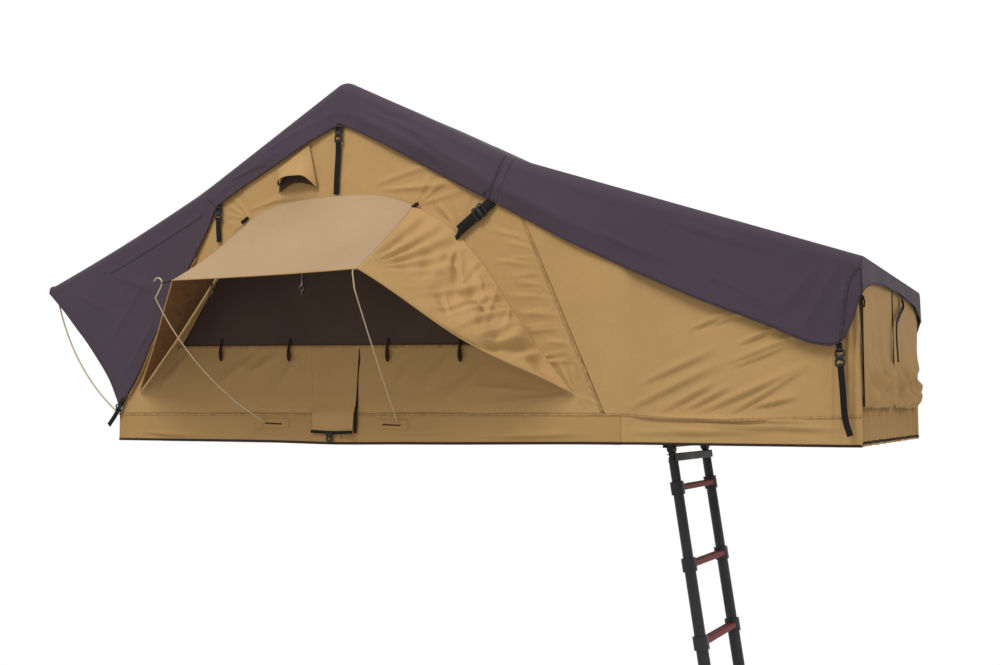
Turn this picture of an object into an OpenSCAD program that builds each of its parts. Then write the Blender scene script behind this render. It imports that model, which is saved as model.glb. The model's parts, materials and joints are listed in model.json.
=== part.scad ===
// Fold-out soft roof tent: two hinged base halves, a fan of three hoops, a canvas
// body with a fly, a raised window awning, a covered entrance and a telescopic ladder.
// Units are millimetres. The origin is the centre of the fixed half's mounting face.
// X runs to the ladder end, Y to the far side, Z up.

/* [Base] */
// length of the half that stays on the roof rack
fixed_len = 1140; // [1000:5:1300]
// length of the half that folds out
fold_len = 1155; // [1000:5:1300]
// width of both base halves
base_w = 1320; // [1200:5:1500]
// height of the two mounting rails
rail_h = 25; // [20:1:40]
// half the distance between the rack bolts along the rails
rack_dx = 350; // [250:5:450]
// distance of the rails from the middle plane
rail_mid = 400; // [360:1:440]
// radius of a rack bolt hole
rack_hole_r = 4.5; // [4:0.25:5.5]
// thickness of a base panel with its frame
panel_t = 35; // [28:1:45]
// mattress thickness
mattress_t = 52; // [40:1:56]
// rise of a mattress crown above its edge
mattress_crown = 9; // [4:1:12]

/* [Hinge] */
// height of the fold axis above the mounting face
hinge_z = 175; // [170:1:190]
// thickness of one hinge plate
plate_t = 4; // [3:0.5:5]
// radius of the fold pin
fold_pin_r = 6; // [5:0.5:8]
// radius of a hoop bolt
bolt_r = 5; // [4:0.5:6]

/* [Hoops] */
// radius of a hoop tube
hoop_r = 9.5; // [8:0.5:11]
// distance of the hoop legs inside the edge of the base
hoop_inset = 30; // [26:1:50]
// bend radius at the hoop corners
hoop_bend = 90; // [60:5:140]
// distance of the outer hoop pivots from the fold line
outer_pivot_dx = 85; // [80:1:90]
// height of the outer hoop pivots
outer_pivot_z = 130; // [128:1:134]
// distance of the middle hoop pivot from the fold line
mid_pivot_dx = 60; // [56:1:62]
// spread of the outer hoop tops from the fold line
outer_top_dx = 728; // [650:1:780]
// height of the outer hoop tops
outer_top_z = 1030; // [950:5:1080]
// height of the middle hoop top
mid_top_z = 1400; // [1300:5:1450]

/* [Fabric] */
// thickness of the canvas and of the fly
cloth_t = 2.5; // [2:0.5:4]
// distance of the side walls outside the edge of the base
wall_gap = 30; // [28:1:40]
// top of the skirt around the base
skirt_top = 125; // [115:1:135]
// clearance between canvas and fly at the sides
fly_gap = 10.5; // [8:0.5:14]
// height of the lower edge of the side window
window_z = 375; // [330:5:420]
// length that the left fly awning reaches past the fixed half
fly_reach = 443; // [350:1:500]
// height of the left fly awning's outer edge
fly_tip_z = 690; // [600:5:760]

/* [Entrance] */
// length that the covered entrance reaches past the base
entry_len = 803; // [650:1:900]
// height of the entrance roof at its outer edge
entry_top_z = 609; // [540:1:680]
// height of the lower edge of the entrance walls
entry_low_z = 28; // [10:1:60]

/* [Rods] */
// radius of the spring steel rods
rod_r = 3.5; // [3:0.25:4.5]
// reach of the window awning from the wall
awning_reach = 455; // [380:5:520]
// height of the window awning's outer edge
awning_low_z = 620; // [560:5:680]
// height of the window awning's upper edge
awning_top_z = 935; // [890:5:940]

/* [Ladder] */
// angle between the ladder and the vertical
ladder_lean = 8.5; // [6:0.5:14]
// half the distance between the rails
rail_y = 214; // [190:1:240]
// outer radius of the thinnest rail tube
tube_r = 18; // [16:0.5:20]
// growth of the tube radius from one section to the next
tube_step = 1.7; // [1.6:0.05:1.9]
// radial clearance between two sections
tube_clear = 0.3; // [0.3:0.05:0.4]
// distance from the pivot to the first rung
first_rung = 147; // [140:1:160]
// distance between two rungs
rung_pitch = 288; // [280:1:320]
// length of tube that stays inside the next section
tube_insert = 60; // [50:1:70]

/* [Hidden] */
$fn = 32;
eps = 0.3;
fold_x = fixed_len / 2;
end_x = fold_x + fold_len;
half_w = base_w / 2;
base_top = rail_h + panel_t;
bed_top = base_top + mattress_t;
left_x = -fold_x - 15;
wall_y = half_w + wall_gap;
hoop_y = half_w - hoop_inset;
// holes and slots of the rails
rail_w = 50;
rail_from = -fold_x - 20;
rail_to = fold_x - 40;
rack_dy = rail_mid + 17;
rail_screws = [-fold_x + 120, 0, fold_x - 140];
screw_dy = rail_mid - 17.5;
entry_x = end_x + entry_len;
hoop_a = [fold_x - outer_pivot_dx, outer_pivot_z];
hoop_b = [fold_x + mid_pivot_dx, hinge_z];
hoop_c = [fold_x + outer_pivot_dx, outer_pivot_z];
top_a = [fold_x - outer_top_dx, outer_top_z];
top_b = [fold_x, mid_top_z];
top_c = [fold_x + outer_top_dx, outer_top_z];
// corners of the canvas roof line
roof_a = [top_a[0] - 13, top_a[1] + 8];
roof_b = [fold_x, mid_top_z + 14];
roof_c = [top_c[0] + 10, top_c[1] + 12];
roof_d = [entry_x, entry_top_z];
// gap that the roof cloth keeps above the walls' top edges
roof_lift = 0.1;
// corners of the fly, a little outside the canvas
fly_t = [-fold_x - fly_reach, fly_tip_z];
fly_a = [roof_a[0] - 6, roof_a[1] + 10];
fly_b = [fold_x, roof_b[1] + 12];
fly_c = [roof_c[0] + 7, roof_c[1] + 10];
fly_d = [entry_x + 12, entry_top_z + 11];
fly_y = wall_y + cloth_t + fly_gap;
// seam between the side wall and the entrance wall
seam_low = [end_x - 64, skirt_top];
seam_top_x = fold_x + 680;
seam_top = [seam_top_x,
  roof_c[1] + (roof_c[0] - seam_top_x) * (roof_b[1] - roof_c[1]) / (roof_c[0] - roof_b[0])];
// window awning corners
aw_y0 = wall_y + cloth_t + 1;
aw_y1 = wall_y + awning_reach;
aw_left = fold_x - 512;
aw_right = fold_x + 328;
aw_lip_left = fold_x - 520;
aw_lip_right = fold_x + 344;
aw_foot_left = [-fold_x + 34, skirt_top + 40];
aw_foot_right = [end_x - 183, skirt_top + 65];
// hinged rods
left_arm_y = half_w + 20;
left_arm = [-fold_x + 25, 90];
left_tip = [fly_t[0] + 22, fly_tip_z - 20];
entry_arm_y = half_w + 12;
entry_arm = [end_x - 25, 90];
entry_tip = [entry_x - 26, entry_top_z - 18];
arm_stud_r = 4;
// sockets of the window awning rods
rod_foot_a = [fold_x - 368, -wall_y, 88];
rod_foot_b = [fold_x + 253, -wall_y, 84];
rod_tip_a = [aw_lip_left + 4, -aw_y1 + 3, awning_low_z - 10];
rod_tip_b = [aw_lip_right - 4, -aw_y1 + 3, awning_low_z - 8];
// ladder
ladder_p = [end_x + 22, -10];
sections = 6;
collar_h = 50;
// wall of a collar around its tube
collar_wall = 5;
// top yoke of the ladder: a channel that ties the two rails below their pins
yoke_from = 16;
yoke_h = 30;
yoke_d = 34;
yoke_out = 6;
yoke_wall = 4;
// sections of a rung
rung_w = 40;
rung_h = 22;
last_len = 335;
foot_h = 26;
button_r = 10;
button_deep = 4;

// helpers
function unit(v) = v / norm(v);
function left_of(p, q) = [-(q[1] - p[1]), q[0] - p[0]] / norm(q - p);
function at_x(p, q, x) = [x, p[1] + (q[1] - p[1]) * (x - p[0]) / (q[0] - p[0])];

// a shape drawn in X and Z, reaching from y to y + t
module plate_xz(y, t) {
  translate([0, y + t, 0]) rotate([90, 0, 0]) linear_extrude(height = t) children();
}

// the same shape on the near and the far side, from y outwards
module both_sides(y, t) {
  plate_xz(y, t) children();
  plate_xz(-y - t, t) children();
}

// a flat strip of cloth between two points of the side view, thickened to the left of p to q
module strip(p, q, half, t) {
  n = left_of(p, q) * t;
  plate_xz(-half, 2 * half) polygon([p, q, q + n, p + n]);
}

// a flat cloth panel through points in one plane, thickened along its normal
module panel(pts, t) {
  n = unit(cross(pts[1] - pts[0], pts[2] - pts[0])) * t;
  k = len(pts);
  all = concat(pts, [for (p = pts) p + n]);
  sides = [for (i = [0:k - 1]) [i, i + k, (i + 1) % k + k, (i + 1) % k]];
  low = [for (i = [0:k - 1]) i];
  high = [for (i = [0:k - 1]) 2 * k - 1 - i];
  polyhedron(concat(all), concat([low, high], sides));
}

// cloth gathered into folds that fan out from a corner to the edge between p and q
module fan_panel(corner, p, q, folds, deep, t) {
  n = unit(cross(p - corner, q - corner)) * t;
  m = 2 * folds;
  edge = [for (i = [0:m]) p + (q - p) * i / m - [0, i % 2 * deep, 0]];
  ring = concat([corner], edge);
  k = m + 2;
  low = [for (i = [1:m]) [0, i, i + 1]];
  high = [for (i = [1:m]) [k, k + i + 1, k + i]];
  rim = [for (i = [0:k - 1], half = [0, 1])
    half == 0 ? [i, i + k, (i + 1) % k + k] : [i, (i + 1) % k + k, (i + 1) % k]];
  polyhedron(concat(ring, [for (v = ring) v + n]), concat(low, high, rim));
}

// a round bar along Y
module bar_y(x, z, y0, y1, r) {
  translate([x, y0, z]) rotate([-90, 0, 0]) cylinder(h = y1 - y0, r = r);
}

// a round bar along Y on both sides, measured from the middle plane
module bars_y(x, z, y0, y1, r) {
  bar_y(x, z, y0, y1, r);
  bar_y(x, z, -y1, -y0, r);
}

// a rod bent to an arc from p to q in the plane of X and Z, bulging to the right by h
module arc_rod(p, q, h, r) {
  c = norm(q - p);
  big = (c * c / 4 + h * h) / (2 * h);
  mid = (p + q) / 2;
  centre = mid + left_of(p, q) * (big - h);
  a0 = atan2(p[1] - centre[1], p[0] - centre[0]);
  translate([centre[0], 0, centre[1]]) rotate([90, 0, 0]) rotate([0, 0, a0])
    rotate_extrude(angle = 2 * asin(c / 2 / big)) translate([big, 0]) circle(r = r);
}

// base
module mounting_rails() {
  color([0.75, 0.76, 0.78])
    for (s = [-1, 1])
      difference() {
        translate([rail_from, s * rail_mid - rail_w / 2, 0]) cube([rail_to - rail_from, rail_w, rail_h]);
        // slot for sliding bolts, open at the bottom
        translate([rail_from - 1, s * rail_mid - 5, -1]) cube([rail_to - rail_from + 2, 10, 9]);
        translate([rail_from - 1, s * rail_mid - 10, 6]) cube([rail_to - rail_from + 2, 20, 10]);
        // holes for the roof rack bolts
        for (x = [-rack_dx, rack_dx])
          translate([x, s * rack_dy, -1]) cylinder(h = rail_h + 2, r = rack_hole_r);
        // sunk holes for the screws into the panel
        for (x = rail_screws) {
          translate([x, s * screw_dy, -1]) cylinder(h = rail_h + 2, r = 3);
          translate([x, s * screw_dy, -1]) cylinder(h = 10, r = 6);
        }
      }
}

module rail_bolts() {
  color([0.62, 0.63, 0.65])
    for (s = [-1, 1], x = rail_screws) {
      translate([x, s * screw_dy, 9]) cylinder(h = rail_h - 9, r = 3);
      translate([x, s * screw_dy, 5]) cylinder(h = 4, r = 5, $fn = 6);
    }
}

module base_half(x0, x1) {
  // panel core inside an edge profile
  translate([x0 + 28, -half_w + 28, rail_h + 3]) cube([x1 - x0 - 56, base_w - 56, panel_t - 6]);
  difference() {
    translate([x0, -half_w, rail_h]) cube([x1 - x0, base_w, panel_t]);
    translate([x0 + 28, -half_w + 28, rail_h - 1]) cube([x1 - x0 - 56, base_w - 56, panel_t + 2]);
    // drainage groove along the outside of the profile
    for (s = [-1, 1])
      translate([x0 - 1, s * half_w - 2, rail_h + panel_t / 2 - 4]) cube([x1 - x0 + 2, 4, 8]);
  }
}

module base_panel_fixed() {
  color([0.7, 0.71, 0.72]) base_half(-fold_x, fold_x - 0.5);
}

module base_panel_fold() {
  color([0.7, 0.71, 0.72]) base_half(fold_x + 0.5, end_x);
}

// a mattress with drawn-in sides and a crown, as stacked rounded slabs
module mattress(x0, x1, half) {
  z0 = base_top + eps;
  edge = mattress_t - mattress_crown - 2 * eps;
  hull() {
    translate([x0 + 12, -half + 12, z0]) cube([x1 - x0 - 24, 2 * half - 24, 1]);
    translate([x0, -half, z0 + 12]) cube([x1 - x0, 2 * half, edge - 24]);
    translate([x0 + 12, -half + 12, z0 + edge - 1]) cube([x1 - x0 - 24, 2 * half - 24, 1]);
    translate([x0 + 120, -half + 120, z0 + edge + mattress_crown - 1])
      cube([x1 - x0 - 240, 2 * half - 240, 1]);
  }
}

module mattress_fixed() {
  color([0.33, 0.33, 0.35]) mattress(-fold_x + 12, fold_x - 6, half_w - 8);
}

module mattress_fold() {
  color([0.33, 0.33, 0.35]) mattress(fold_x + 6, end_x - 40, half_w - 8);
}

// fold hinge
module plate_fixed_shape() {
  difference() {
    union() {
      hull() {
        translate([fold_x, hinge_z]) circle(r = 15);
        translate(hoop_b) circle(r = 15);
      }
      hull() {
        translate([fold_x, hinge_z]) circle(r = 15);
        translate(hoop_a) circle(r = 15);
        translate([fold_x - 130, rail_h + 3]) square([120, panel_t - 6]);
      }
    }
    for (p = [[fold_x, hinge_z], hoop_a, hoop_b])
      translate(p) circle(r = p == [fold_x, hinge_z] ? fold_pin_r : bolt_r);
  }
}

module plate_fold_shape(pin) {
  difference() {
    hull() {
      translate([fold_x, hinge_z]) circle(r = 15);
      translate(hoop_c) circle(r = 15);
      translate([fold_x + 20, rail_h + 3]) square([125, panel_t - 6]);
    }
    translate([fold_x, hinge_z]) circle(r = pin);
    translate(hoop_c) circle(r = bolt_r);
  }
}

module hinge_plates_fixed() {
  color([0.55, 0.56, 0.58]) both_sides(half_w, plate_t) plate_fixed_shape();
}

module hinge_plates_fold() {
  color([0.5, 0.51, 0.53]) {
    both_sides(half_w + plate_t + 0.5, plate_t) plate_fold_shape(fold_pin_r + 0.05);
    // pad between the plate and the frame
    both_sides(half_w, plate_t + 0.5)
      translate([fold_x + 20, rail_h + 3]) square([125, panel_t - 6]);
  }
}

module pivot_bolts_fixed() {
  color([0.35, 0.35, 0.37]) {
    bars_y(fold_x, hinge_z, half_w - 4, half_w, 11);
    bars_y(fold_x, hinge_z, half_w, half_w + 2 * plate_t + 0.9, fold_pin_r);
    bars_y(fold_x, hinge_z, half_w + 2 * plate_t + 0.9, half_w + 2 * plate_t + 4.5, 11);
    for (p = [hoop_a, hoop_b]) hoop_bolt(p, half_w, half_w + plate_t);
  }
}

// bolt from a plate inwards through a hoop eye
module hoop_bolt(p, collar_end, tail) {
  bars_y(p[0], p[1], hoop_y - hoop_r - 4, hoop_y - hoop_r - 0.4, 9);
  bars_y(p[0], p[1], hoop_y - hoop_r - 0.4, hoop_y + hoop_r + 0.4, bolt_r);
  bars_y(p[0], p[1], hoop_y + hoop_r + 0.4, collar_end, 9);
  bars_y(p[0], p[1], collar_end, tail, bolt_r);
}

module pivot_bolts_fold() {
  color([0.35, 0.35, 0.37])
    hoop_bolt(hoop_c, half_w + plate_t + 0.5, half_w + 2 * plate_t + 0.5);
}

// hoops, drawn upright and turned into place about their pivots
module hoop(p, top) {
  d = top - p;
  l = norm(d);
  y = hoop_y;
  b = hoop_bend;
  translate([p[0], 0, p[1]]) rotate([0, 90 - atan2(d[1], d[0]), 0])
    difference() {
      union() {
        for (s = [-1, 1]) {
          translate([0, s * y, 0]) cylinder(h = l - b, r = hoop_r);
          translate([0, s * (y - b), l - b]) rotate([0, 0, s > 0 ? 0 : 180]) quarter_bend(b);
          translate([0, s * y - hoop_r, 0]) rotate([-90, 0, 0]) cylinder(h = 2 * hoop_r, r = 13);
        }
        translate([0, -y + b, l]) rotate([-90, 0, 0]) cylinder(h = 2 * (y - b), r = hoop_r);
      }
      for (s = [-1, 1])
        translate([0, s * y - hoop_r - 1, 0]) rotate([-90, 0, 0])
          cylinder(h = 2 * hoop_r + 2, r = bolt_r + 0.05);
    }
}

// a quarter of a bend, from the leg into the crossbar
module quarter_bend(b) {
  rotate([90, 0, 90]) rotate_extrude(angle = 90) translate([b, 0]) circle(r = hoop_r);
}

module hoop_left() { color([0.72, 0.73, 0.75]) hoop(hoop_a, top_a); }
module hoop_center() { color([0.72, 0.73, 0.75]) hoop(hoop_b, top_b); }
module hoop_right() { color([0.72, 0.73, 0.75]) hoop(hoop_c, top_c); }

// spring rods that stand out for the window awning
function heading(foot, tip) = atan2(tip[1] - foot[1], tip[0] - foot[0]);
function run(foot, tip) = norm([tip[0] - foot[0], tip[1] - foot[1]]);
rod_sag = 85;

module spring_rod(foot, tip) {
  p = [0, foot[2]];
  q = [run(foot, tip), tip[2] - 42];
  c = norm(q - p);
  turn = asin(c / 2 / ((c * c / 4 + rod_sag * rod_sag) / (2 * rod_sag)));
  a = atan2(q[1] - p[1], q[0] - p[0]) - turn;
  translate([foot[0], foot[1], 0]) rotate([0, 0, heading(foot, tip)]) {
    arc_rod(p, q, rod_sag, rod_r);
    // straight foot inside the socket
    translate([p[0], 0, p[1]]) rotate([0, -a - 90, 0]) cylinder(h = 24, r = rod_r);
    // crimped bend and upright tip that hooks into the lip of the awning
    translate([q[0], 0, q[1]]) sphere(r = rod_r + 0.8);
    translate([q[0], 0, q[1]]) cylinder(h = 36, r = rod_r);
  }
}

module rod_socket(foot, tip) {
  p = [0, foot[2]];
  q = [run(foot, tip), tip[2] - 42];
  c = norm(q - p);
  turn = asin(c / 2 / ((c * c / 4 + rod_sag * rod_sag) / (2 * rod_sag)));
  a = atan2(q[1] - p[1], q[0] - p[0]) - turn;
  difference() {
    translate([foot[0] - 14, -wall_y + 4, rail_h + 3]) cube([28, wall_gap - 4, foot[2] - rail_h + 10]);
    translate([foot[0], foot[1], 0]) rotate([0, 0, heading(foot, tip)]) {
      translate([p[0], 0, p[1]]) rotate([0, -a - 90, 0]) cylinder(h = 24.5, r = rod_r);
      translate([p[0], 0, p[1]]) rotate([0, 90 - a, 0]) cylinder(h = 40, r = rod_r + 2);
    }
  }
}

module awning_rod_fixed() { color([0.78, 0.75, 0.68]) spring_rod(rod_foot_a, rod_tip_a); }
module awning_rod_fold() { color([0.78, 0.75, 0.68]) spring_rod(rod_foot_b, rod_tip_b); }

module rod_sockets_fixed() {
  color([0.12, 0.12, 0.13]) {
    rod_socket(rod_foot_a, rod_tip_a);
    // swivels of the left fly rods
    for (s = [-1, 1])
      translate([left_arm[0] - 14, s > 0 ? half_w : -left_arm_y + rod_r + 0.5, rail_h + 3])
        cube([28, left_arm_y - rod_r - 0.5 - half_w, left_arm[1] - rail_h + 10]);
    bars_y(left_arm[0], left_arm[1], left_arm_y - rod_r - 0.5, left_arm_y + rod_r + 0.5, arm_stud_r);
    bars_y(left_arm[0], left_arm[1], left_arm_y + rod_r + 0.5, left_arm_y + rod_r + 2.5, 7);
  }
}

module rod_sockets_fold() {
  color([0.12, 0.12, 0.13]) {
    rod_socket(rod_foot_b, rod_tip_b);
    // swivels of the entrance rods
    for (s = [-1, 1])
      translate([entry_arm[0] - 14, s > 0 ? half_w : -entry_arm_y + rod_r + 0.5, rail_h + 3])
        cube([28, entry_arm_y - rod_r - 0.5 - half_w, entry_arm[1] - rail_h + 10]);
    bars_y(entry_arm[0], entry_arm[1], entry_arm_y - rod_r - 0.5, entry_arm_y + rod_r + 0.5, arm_stud_r);
    bars_y(entry_arm[0], entry_arm[1], entry_arm_y + rod_r + 0.5, entry_arm_y + rod_r + 2.5, 7);
  }
}

// hinged rods: an eye on the swivel and an arc up to the fly
module arm_pair(y, foot, p, q) {
  for (s = [-1, 1])
    difference() {
      union() {
        translate([0, s * y, 0]) arc_rod(p, q, 75, rod_r);
        translate([foot[0], s * y - rod_r, foot[1]]) rotate([-90, 0, 0]) cylinder(h = 2 * rod_r, r = 9);
      }
      translate([foot[0], s * y - rod_r - 1, foot[1]]) rotate([-90, 0, 0])
        cylinder(h = 2 * rod_r + 2, r = arm_stud_r + 0.05);
    }
}

module fly_arms() {
  color([0.78, 0.75, 0.68]) arm_pair(left_arm_y, left_arm, left_tip, left_arm);
}

module entry_arms() {
  color([0.78, 0.75, 0.68]) arm_pair(entry_arm_y, entry_arm, entry_arm, entry_tip);
}

// skirt around the base
module skirt_side(x0, x1, slits) {
  difference() {
    both_sides(wall_y, cloth_t) translate([x0, rail_h]) square([x1 - x0, skirt_top - rail_h]);
    for (f = slits)
      translate([f[0] - 26, -wall_y - cloth_t - 1, f[2] - 11]) cube([52, cloth_t + 2, 30]);
  }
}

module skirt_fixed() {
  color([0.55, 0.44, 0.29]) {
    skirt_side(left_x + cloth_t, fold_x - eps, [rod_foot_a]);
    // end strip between the left fly rods, low enough for the folded hoop to pass over
    end_half = left_arm_y - rod_r - 3;
    translate([left_x, -end_half, rail_h])
      cube([cloth_t, 2 * end_half, outer_pivot_z - hoop_r - 2.5 - rail_h]);
  }
}

module skirt_fold() {
  color([0.55, 0.44, 0.29]) skirt_side(fold_x + eps, end_x, [rod_foot_b]);
}

// side walls with the window on the near side
wall_fixed_pts = [[left_x + cloth_t, skirt_top], [fold_x - eps, skirt_top],
  at_x(roof_a, roof_b, fold_x - eps), roof_a];
wall_fold_pts = [[fold_x + eps, skirt_top], seam_low, seam_top, at_x(roof_b, roof_c, fold_x + eps)];
window_pts = [[aw_foot_left[0] + 160, window_z], [aw_foot_right[0] - 160, window_z],
  [aw_right, awning_top_z - 12], [aw_left, awning_top_z - 12]];

module wall_near_fixed() {
  color([0.69, 0.55, 0.36])
    plate_xz(-wall_y - cloth_t, cloth_t) difference() {
      polygon(wall_fixed_pts);
      polygon(window_pts);
    }
}

module wall_near_fold() {
  color([0.69, 0.55, 0.36])
    plate_xz(-wall_y - cloth_t, cloth_t) difference() {
      polygon(wall_fold_pts);
      polygon(window_pts);
    }
}

module wall_far_fixed() {
  color([0.69, 0.55, 0.36]) plate_xz(wall_y, cloth_t) polygon(wall_fixed_pts);
}

module wall_far_fold() {
  color([0.69, 0.55, 0.36]) plate_xz(wall_y, cloth_t) polygon(wall_fold_pts);
}

module mesh_half(x0, x1) {
  color([0.2, 0.17, 0.15])
    plate_xz(-wall_y, 1.2) intersection() {
      offset(delta = 14) polygon(window_pts);
      translate([x0, 0]) square([x1 - x0, mid_top_z]);
    }
}

module window_mesh_fixed() { mesh_half(left_x, fold_x - eps); }
module window_mesh_fold() { mesh_half(fold_x + eps, end_x); }

module end_wall() {
  color([0.66, 0.53, 0.34]) strip([left_x + cloth_t, skirt_top], roof_a, wall_y + cloth_t, cloth_t);
}

module roof_fixed() {
  color([0.66, 0.53, 0.34])
    translate([0, 0, roof_lift])
      strip(roof_a, at_x(roof_a, roof_b, fold_x - 2), wall_y + cloth_t, cloth_t);
}

module roof_fold() {
  color([0.66, 0.53, 0.34])
    translate([0, 0, roof_lift])
      strip(at_x(roof_b, roof_c, fold_x + 2), at_x(roof_b, roof_c, roof_c[0] - 1), wall_y + cloth_t, cloth_t);
}

// raised window awning, a sloping panel with a gusset at each end
function aw_point(x_top, x_low, k) = [x_top + (x_low - x_top) * k, -aw_y0 + (aw_y0 - aw_y1) * k,
  awning_top_z + (awning_low_z - awning_top_z) * k];

module awning_fixed() {
  color([0.74, 0.62, 0.45])
    panel([aw_point(aw_left, aw_lip_left, 0.02), aw_point(aw_left, aw_lip_left, 1),
      aw_point(fold_x - eps, fold_x - eps, 1), aw_point(fold_x - eps, fold_x - eps, 0.02)], cloth_t);
}

module awning_fold() {
  color([0.74, 0.62, 0.45])
    panel([aw_point(fold_x + eps, fold_x + eps, 0.02), aw_point(fold_x + eps, fold_x + eps, 1),
      aw_point(aw_right, aw_lip_right, 1), aw_point(aw_right, aw_lip_right, 0.02)], cloth_t);
}

module awning_gusset_fixed() {
  color([0.66, 0.53, 0.36])
    fan_panel(aw_point(aw_left, aw_lip_left, 0.98) - [7, 0, 0],
      aw_point(aw_left, aw_lip_left, 0.04) - [7, 0, 0],
      [aw_foot_left[0], -aw_y0, aw_foot_left[1]], 3, 14, cloth_t);
}

module awning_gusset_fold() {
  color([0.66, 0.53, 0.36])
    fan_panel(aw_point(aw_right, aw_lip_right, 0.98) + [7, 0, 0],
      [aw_foot_right[0], -aw_y0, aw_foot_right[1]],
      aw_point(aw_right, aw_lip_right, 0.04) + [7, 0, 0], 6, 26, cloth_t);
}

// fly over the roof
fly_low_a = [fly_a[0] + 87, fly_a[1] - 86];
fly_low_b = [fold_x, fly_b[1] - 146];
fly_low_c = [fly_c[0] - 64, fly_c[1] - 160];
fly_low_d = [entry_x - 62, entry_top_z - 264];

module fly_roof_fixed() {
  color([0.28, 0.24, 0.27])
    strip(fly_a + [1, 0], at_x(fly_a, fly_b, fold_x - 2), fly_y + cloth_t, cloth_t);
}

module fly_roof_fold() {
  color([0.28, 0.24, 0.27])
    strip(at_x(fly_b, fly_c, fold_x + 2), fly_c - [1, 0], fly_y + cloth_t, cloth_t);
}

module fly_sides_fixed() {
  color([0.26, 0.22, 0.25])
    both_sides(fly_y, cloth_t)
      polygon([fly_a + [1, 0], fly_low_a + [1, 0], fly_low_b - [eps, 0], at_x(fly_a, fly_b, fold_x - eps)]);
}

module fly_sides_fold() {
  color([0.26, 0.22, 0.25])
    both_sides(fly_y, cloth_t)
      polygon([at_x(fly_b, fly_c, fold_x + eps), fly_low_b + [eps, 0], fly_low_c - [1, 0], fly_c - [1, 0]]);
}

module fly_awning() {
  color([0.28, 0.24, 0.27]) strip(fly_t, fly_a - [1, 0], fly_y + cloth_t, cloth_t);
}

module fly_wings() {
  wing_low = [left_x + 4, 172];
  wing_mid = (fly_t + wing_low) / 2 + [52, 12];
  color([0.26, 0.22, 0.25])
    both_sides(fly_y, cloth_t)
      polygon([fly_t, wing_mid, wing_low, wing_low + [190, 228], fly_low_a - [95, 200],
        fly_low_a - [1, 0], fly_a - [1, 0]]);
}

// covered entrance past the folded-out half
entry_pts = [at_x(roof_b, roof_c, seam_top_x + eps), roof_c, roof_d, [entry_x, entry_low_z], [end_x + 2, entry_low_z],
  [end_x + 2, skirt_top + eps], seam_low + [eps, eps]];

module entry_wall_near() {
  color([0.69, 0.55, 0.36]) plate_xz(-wall_y - cloth_t, cloth_t) polygon(entry_pts);
}

module entry_wall_far() {
  color([0.69, 0.55, 0.36]) plate_xz(wall_y, cloth_t) polygon(entry_pts);
}

// end curtain of the entrance, hanging in upright folds
pleats = 11;
pleat_deep = 8;
pleat_steps = 6 * pleats;
curtain_half = wall_y - eps;
function curtain_y(i) = curtain_half * (2 * i / pleat_steps - 1);
function curtain_x(i) = entry_x - pleat_deep * (1 - cos(360 * pleats * i / pleat_steps));

module entry_end() {
  color([0.66, 0.53, 0.34])
    translate([0, 0, entry_low_z]) linear_extrude(height = entry_top_z - entry_low_z) polygon(concat(
      [for (i = [0:pleat_steps]) [curtain_x(i), curtain_y(i)]],
      [for (i = [0:pleat_steps]) [curtain_x(pleat_steps - i) + cloth_t, curtain_y(pleat_steps - i)]]));
}

module entry_roof() {
  color([0.66, 0.53, 0.34]) strip(roof_c, roof_d, wall_y + cloth_t, cloth_t);
}

module fly_entry() {
  color([0.28, 0.24, 0.27]) strip(fly_c, fly_d, fly_y + cloth_t, cloth_t);
}

module fly_entry_sides() {
  flap_low = [fly_d[0], fly_low_d[1]];
  half = fly_y + cloth_t;
  color([0.26, 0.22, 0.25]) {
    both_sides(fly_y, cloth_t) polygon([fly_c, fly_low_c, fly_low_d, flap_low, fly_d]);
    // end flap with an arched lower edge
    translate([fly_d[0] + eps, 0, 0]) rotate([90, 0, 90]) linear_extrude(height = cloth_t) polygon([
      [-half, fly_d[1]], [-half, fly_low_d[1]], [-half + 70, entry_top_z - 150],
      [-half + 150, entry_top_z - 60], [-half + 450, entry_top_z - 30], [half - 450, entry_top_z - 30],
      [half - 150, entry_top_z - 60], [half - 70, entry_top_z - 150], [half, fly_low_d[1]],
      [half, fly_d[1]]]);
  }
}

// ladder, drawn hanging straight down from its pivot and leaned about it
module on_ladder() {
  translate([ladder_p[0], 0, ladder_p[1]]) rotate([0, -ladder_lean, 0]) children();
}

function outer_r(k) = tube_r + tube_step * (k - 1);
function rung_s(k) = first_rung + rung_pitch * (k - 1);
function tube_low(k) = k < sections ? rung_s(k) + tube_insert : rung_s(k - 1) + last_len;
bracket_gap = 26;
bracket_low = -4;

module collar_2d(k) {
  offset(r = outer_r(k) + collar_wall - 5) square([10, 10], center = true);
}

// channel along Y with its open side towards the tent
module yoke() {
  half = rail_y + outer_r(1) + yoke_out;
  translate([3, half, -yoke_from - yoke_h / 2]) rotate([90, 0, 0]) linear_extrude(height = 2 * half)
    difference() {
      offset(r = 3) square([yoke_d - 6, yoke_h - 6], center = true);
      translate([-yoke_wall, 0]) square([yoke_d, yoke_h - 2 * yoke_wall], center = true);
    }
}

module ladder_bracket() {
  ear = rail_y + 40;
  color([0.3, 0.08, 0.08]) {
    // plate across the end of the fold-out half, with two ears and a pin for each rail
    translate([end_x, -ear, bracket_low]) cube([6, 2 * ear, rail_h + panel_t - 2 - bracket_low]);
    for (s = [-1, 1]) {
      for (e = [-1, 1])
        translate([0, s * rail_y + e * (bracket_gap / 2 + 2.5) - 2.5, 0]) plate_xz(0, 5) hull() {
          translate(ladder_p) circle(r = 14);
          translate([end_x + 3, rail_h + 2]) square([3, panel_t - 4]);
        }
      bar_y(ladder_p[0], ladder_p[1], s * rail_y - bracket_gap / 2 - 8,
        s * rail_y + bracket_gap / 2 + 8, bolt_r);
    }
  }
}

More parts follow.
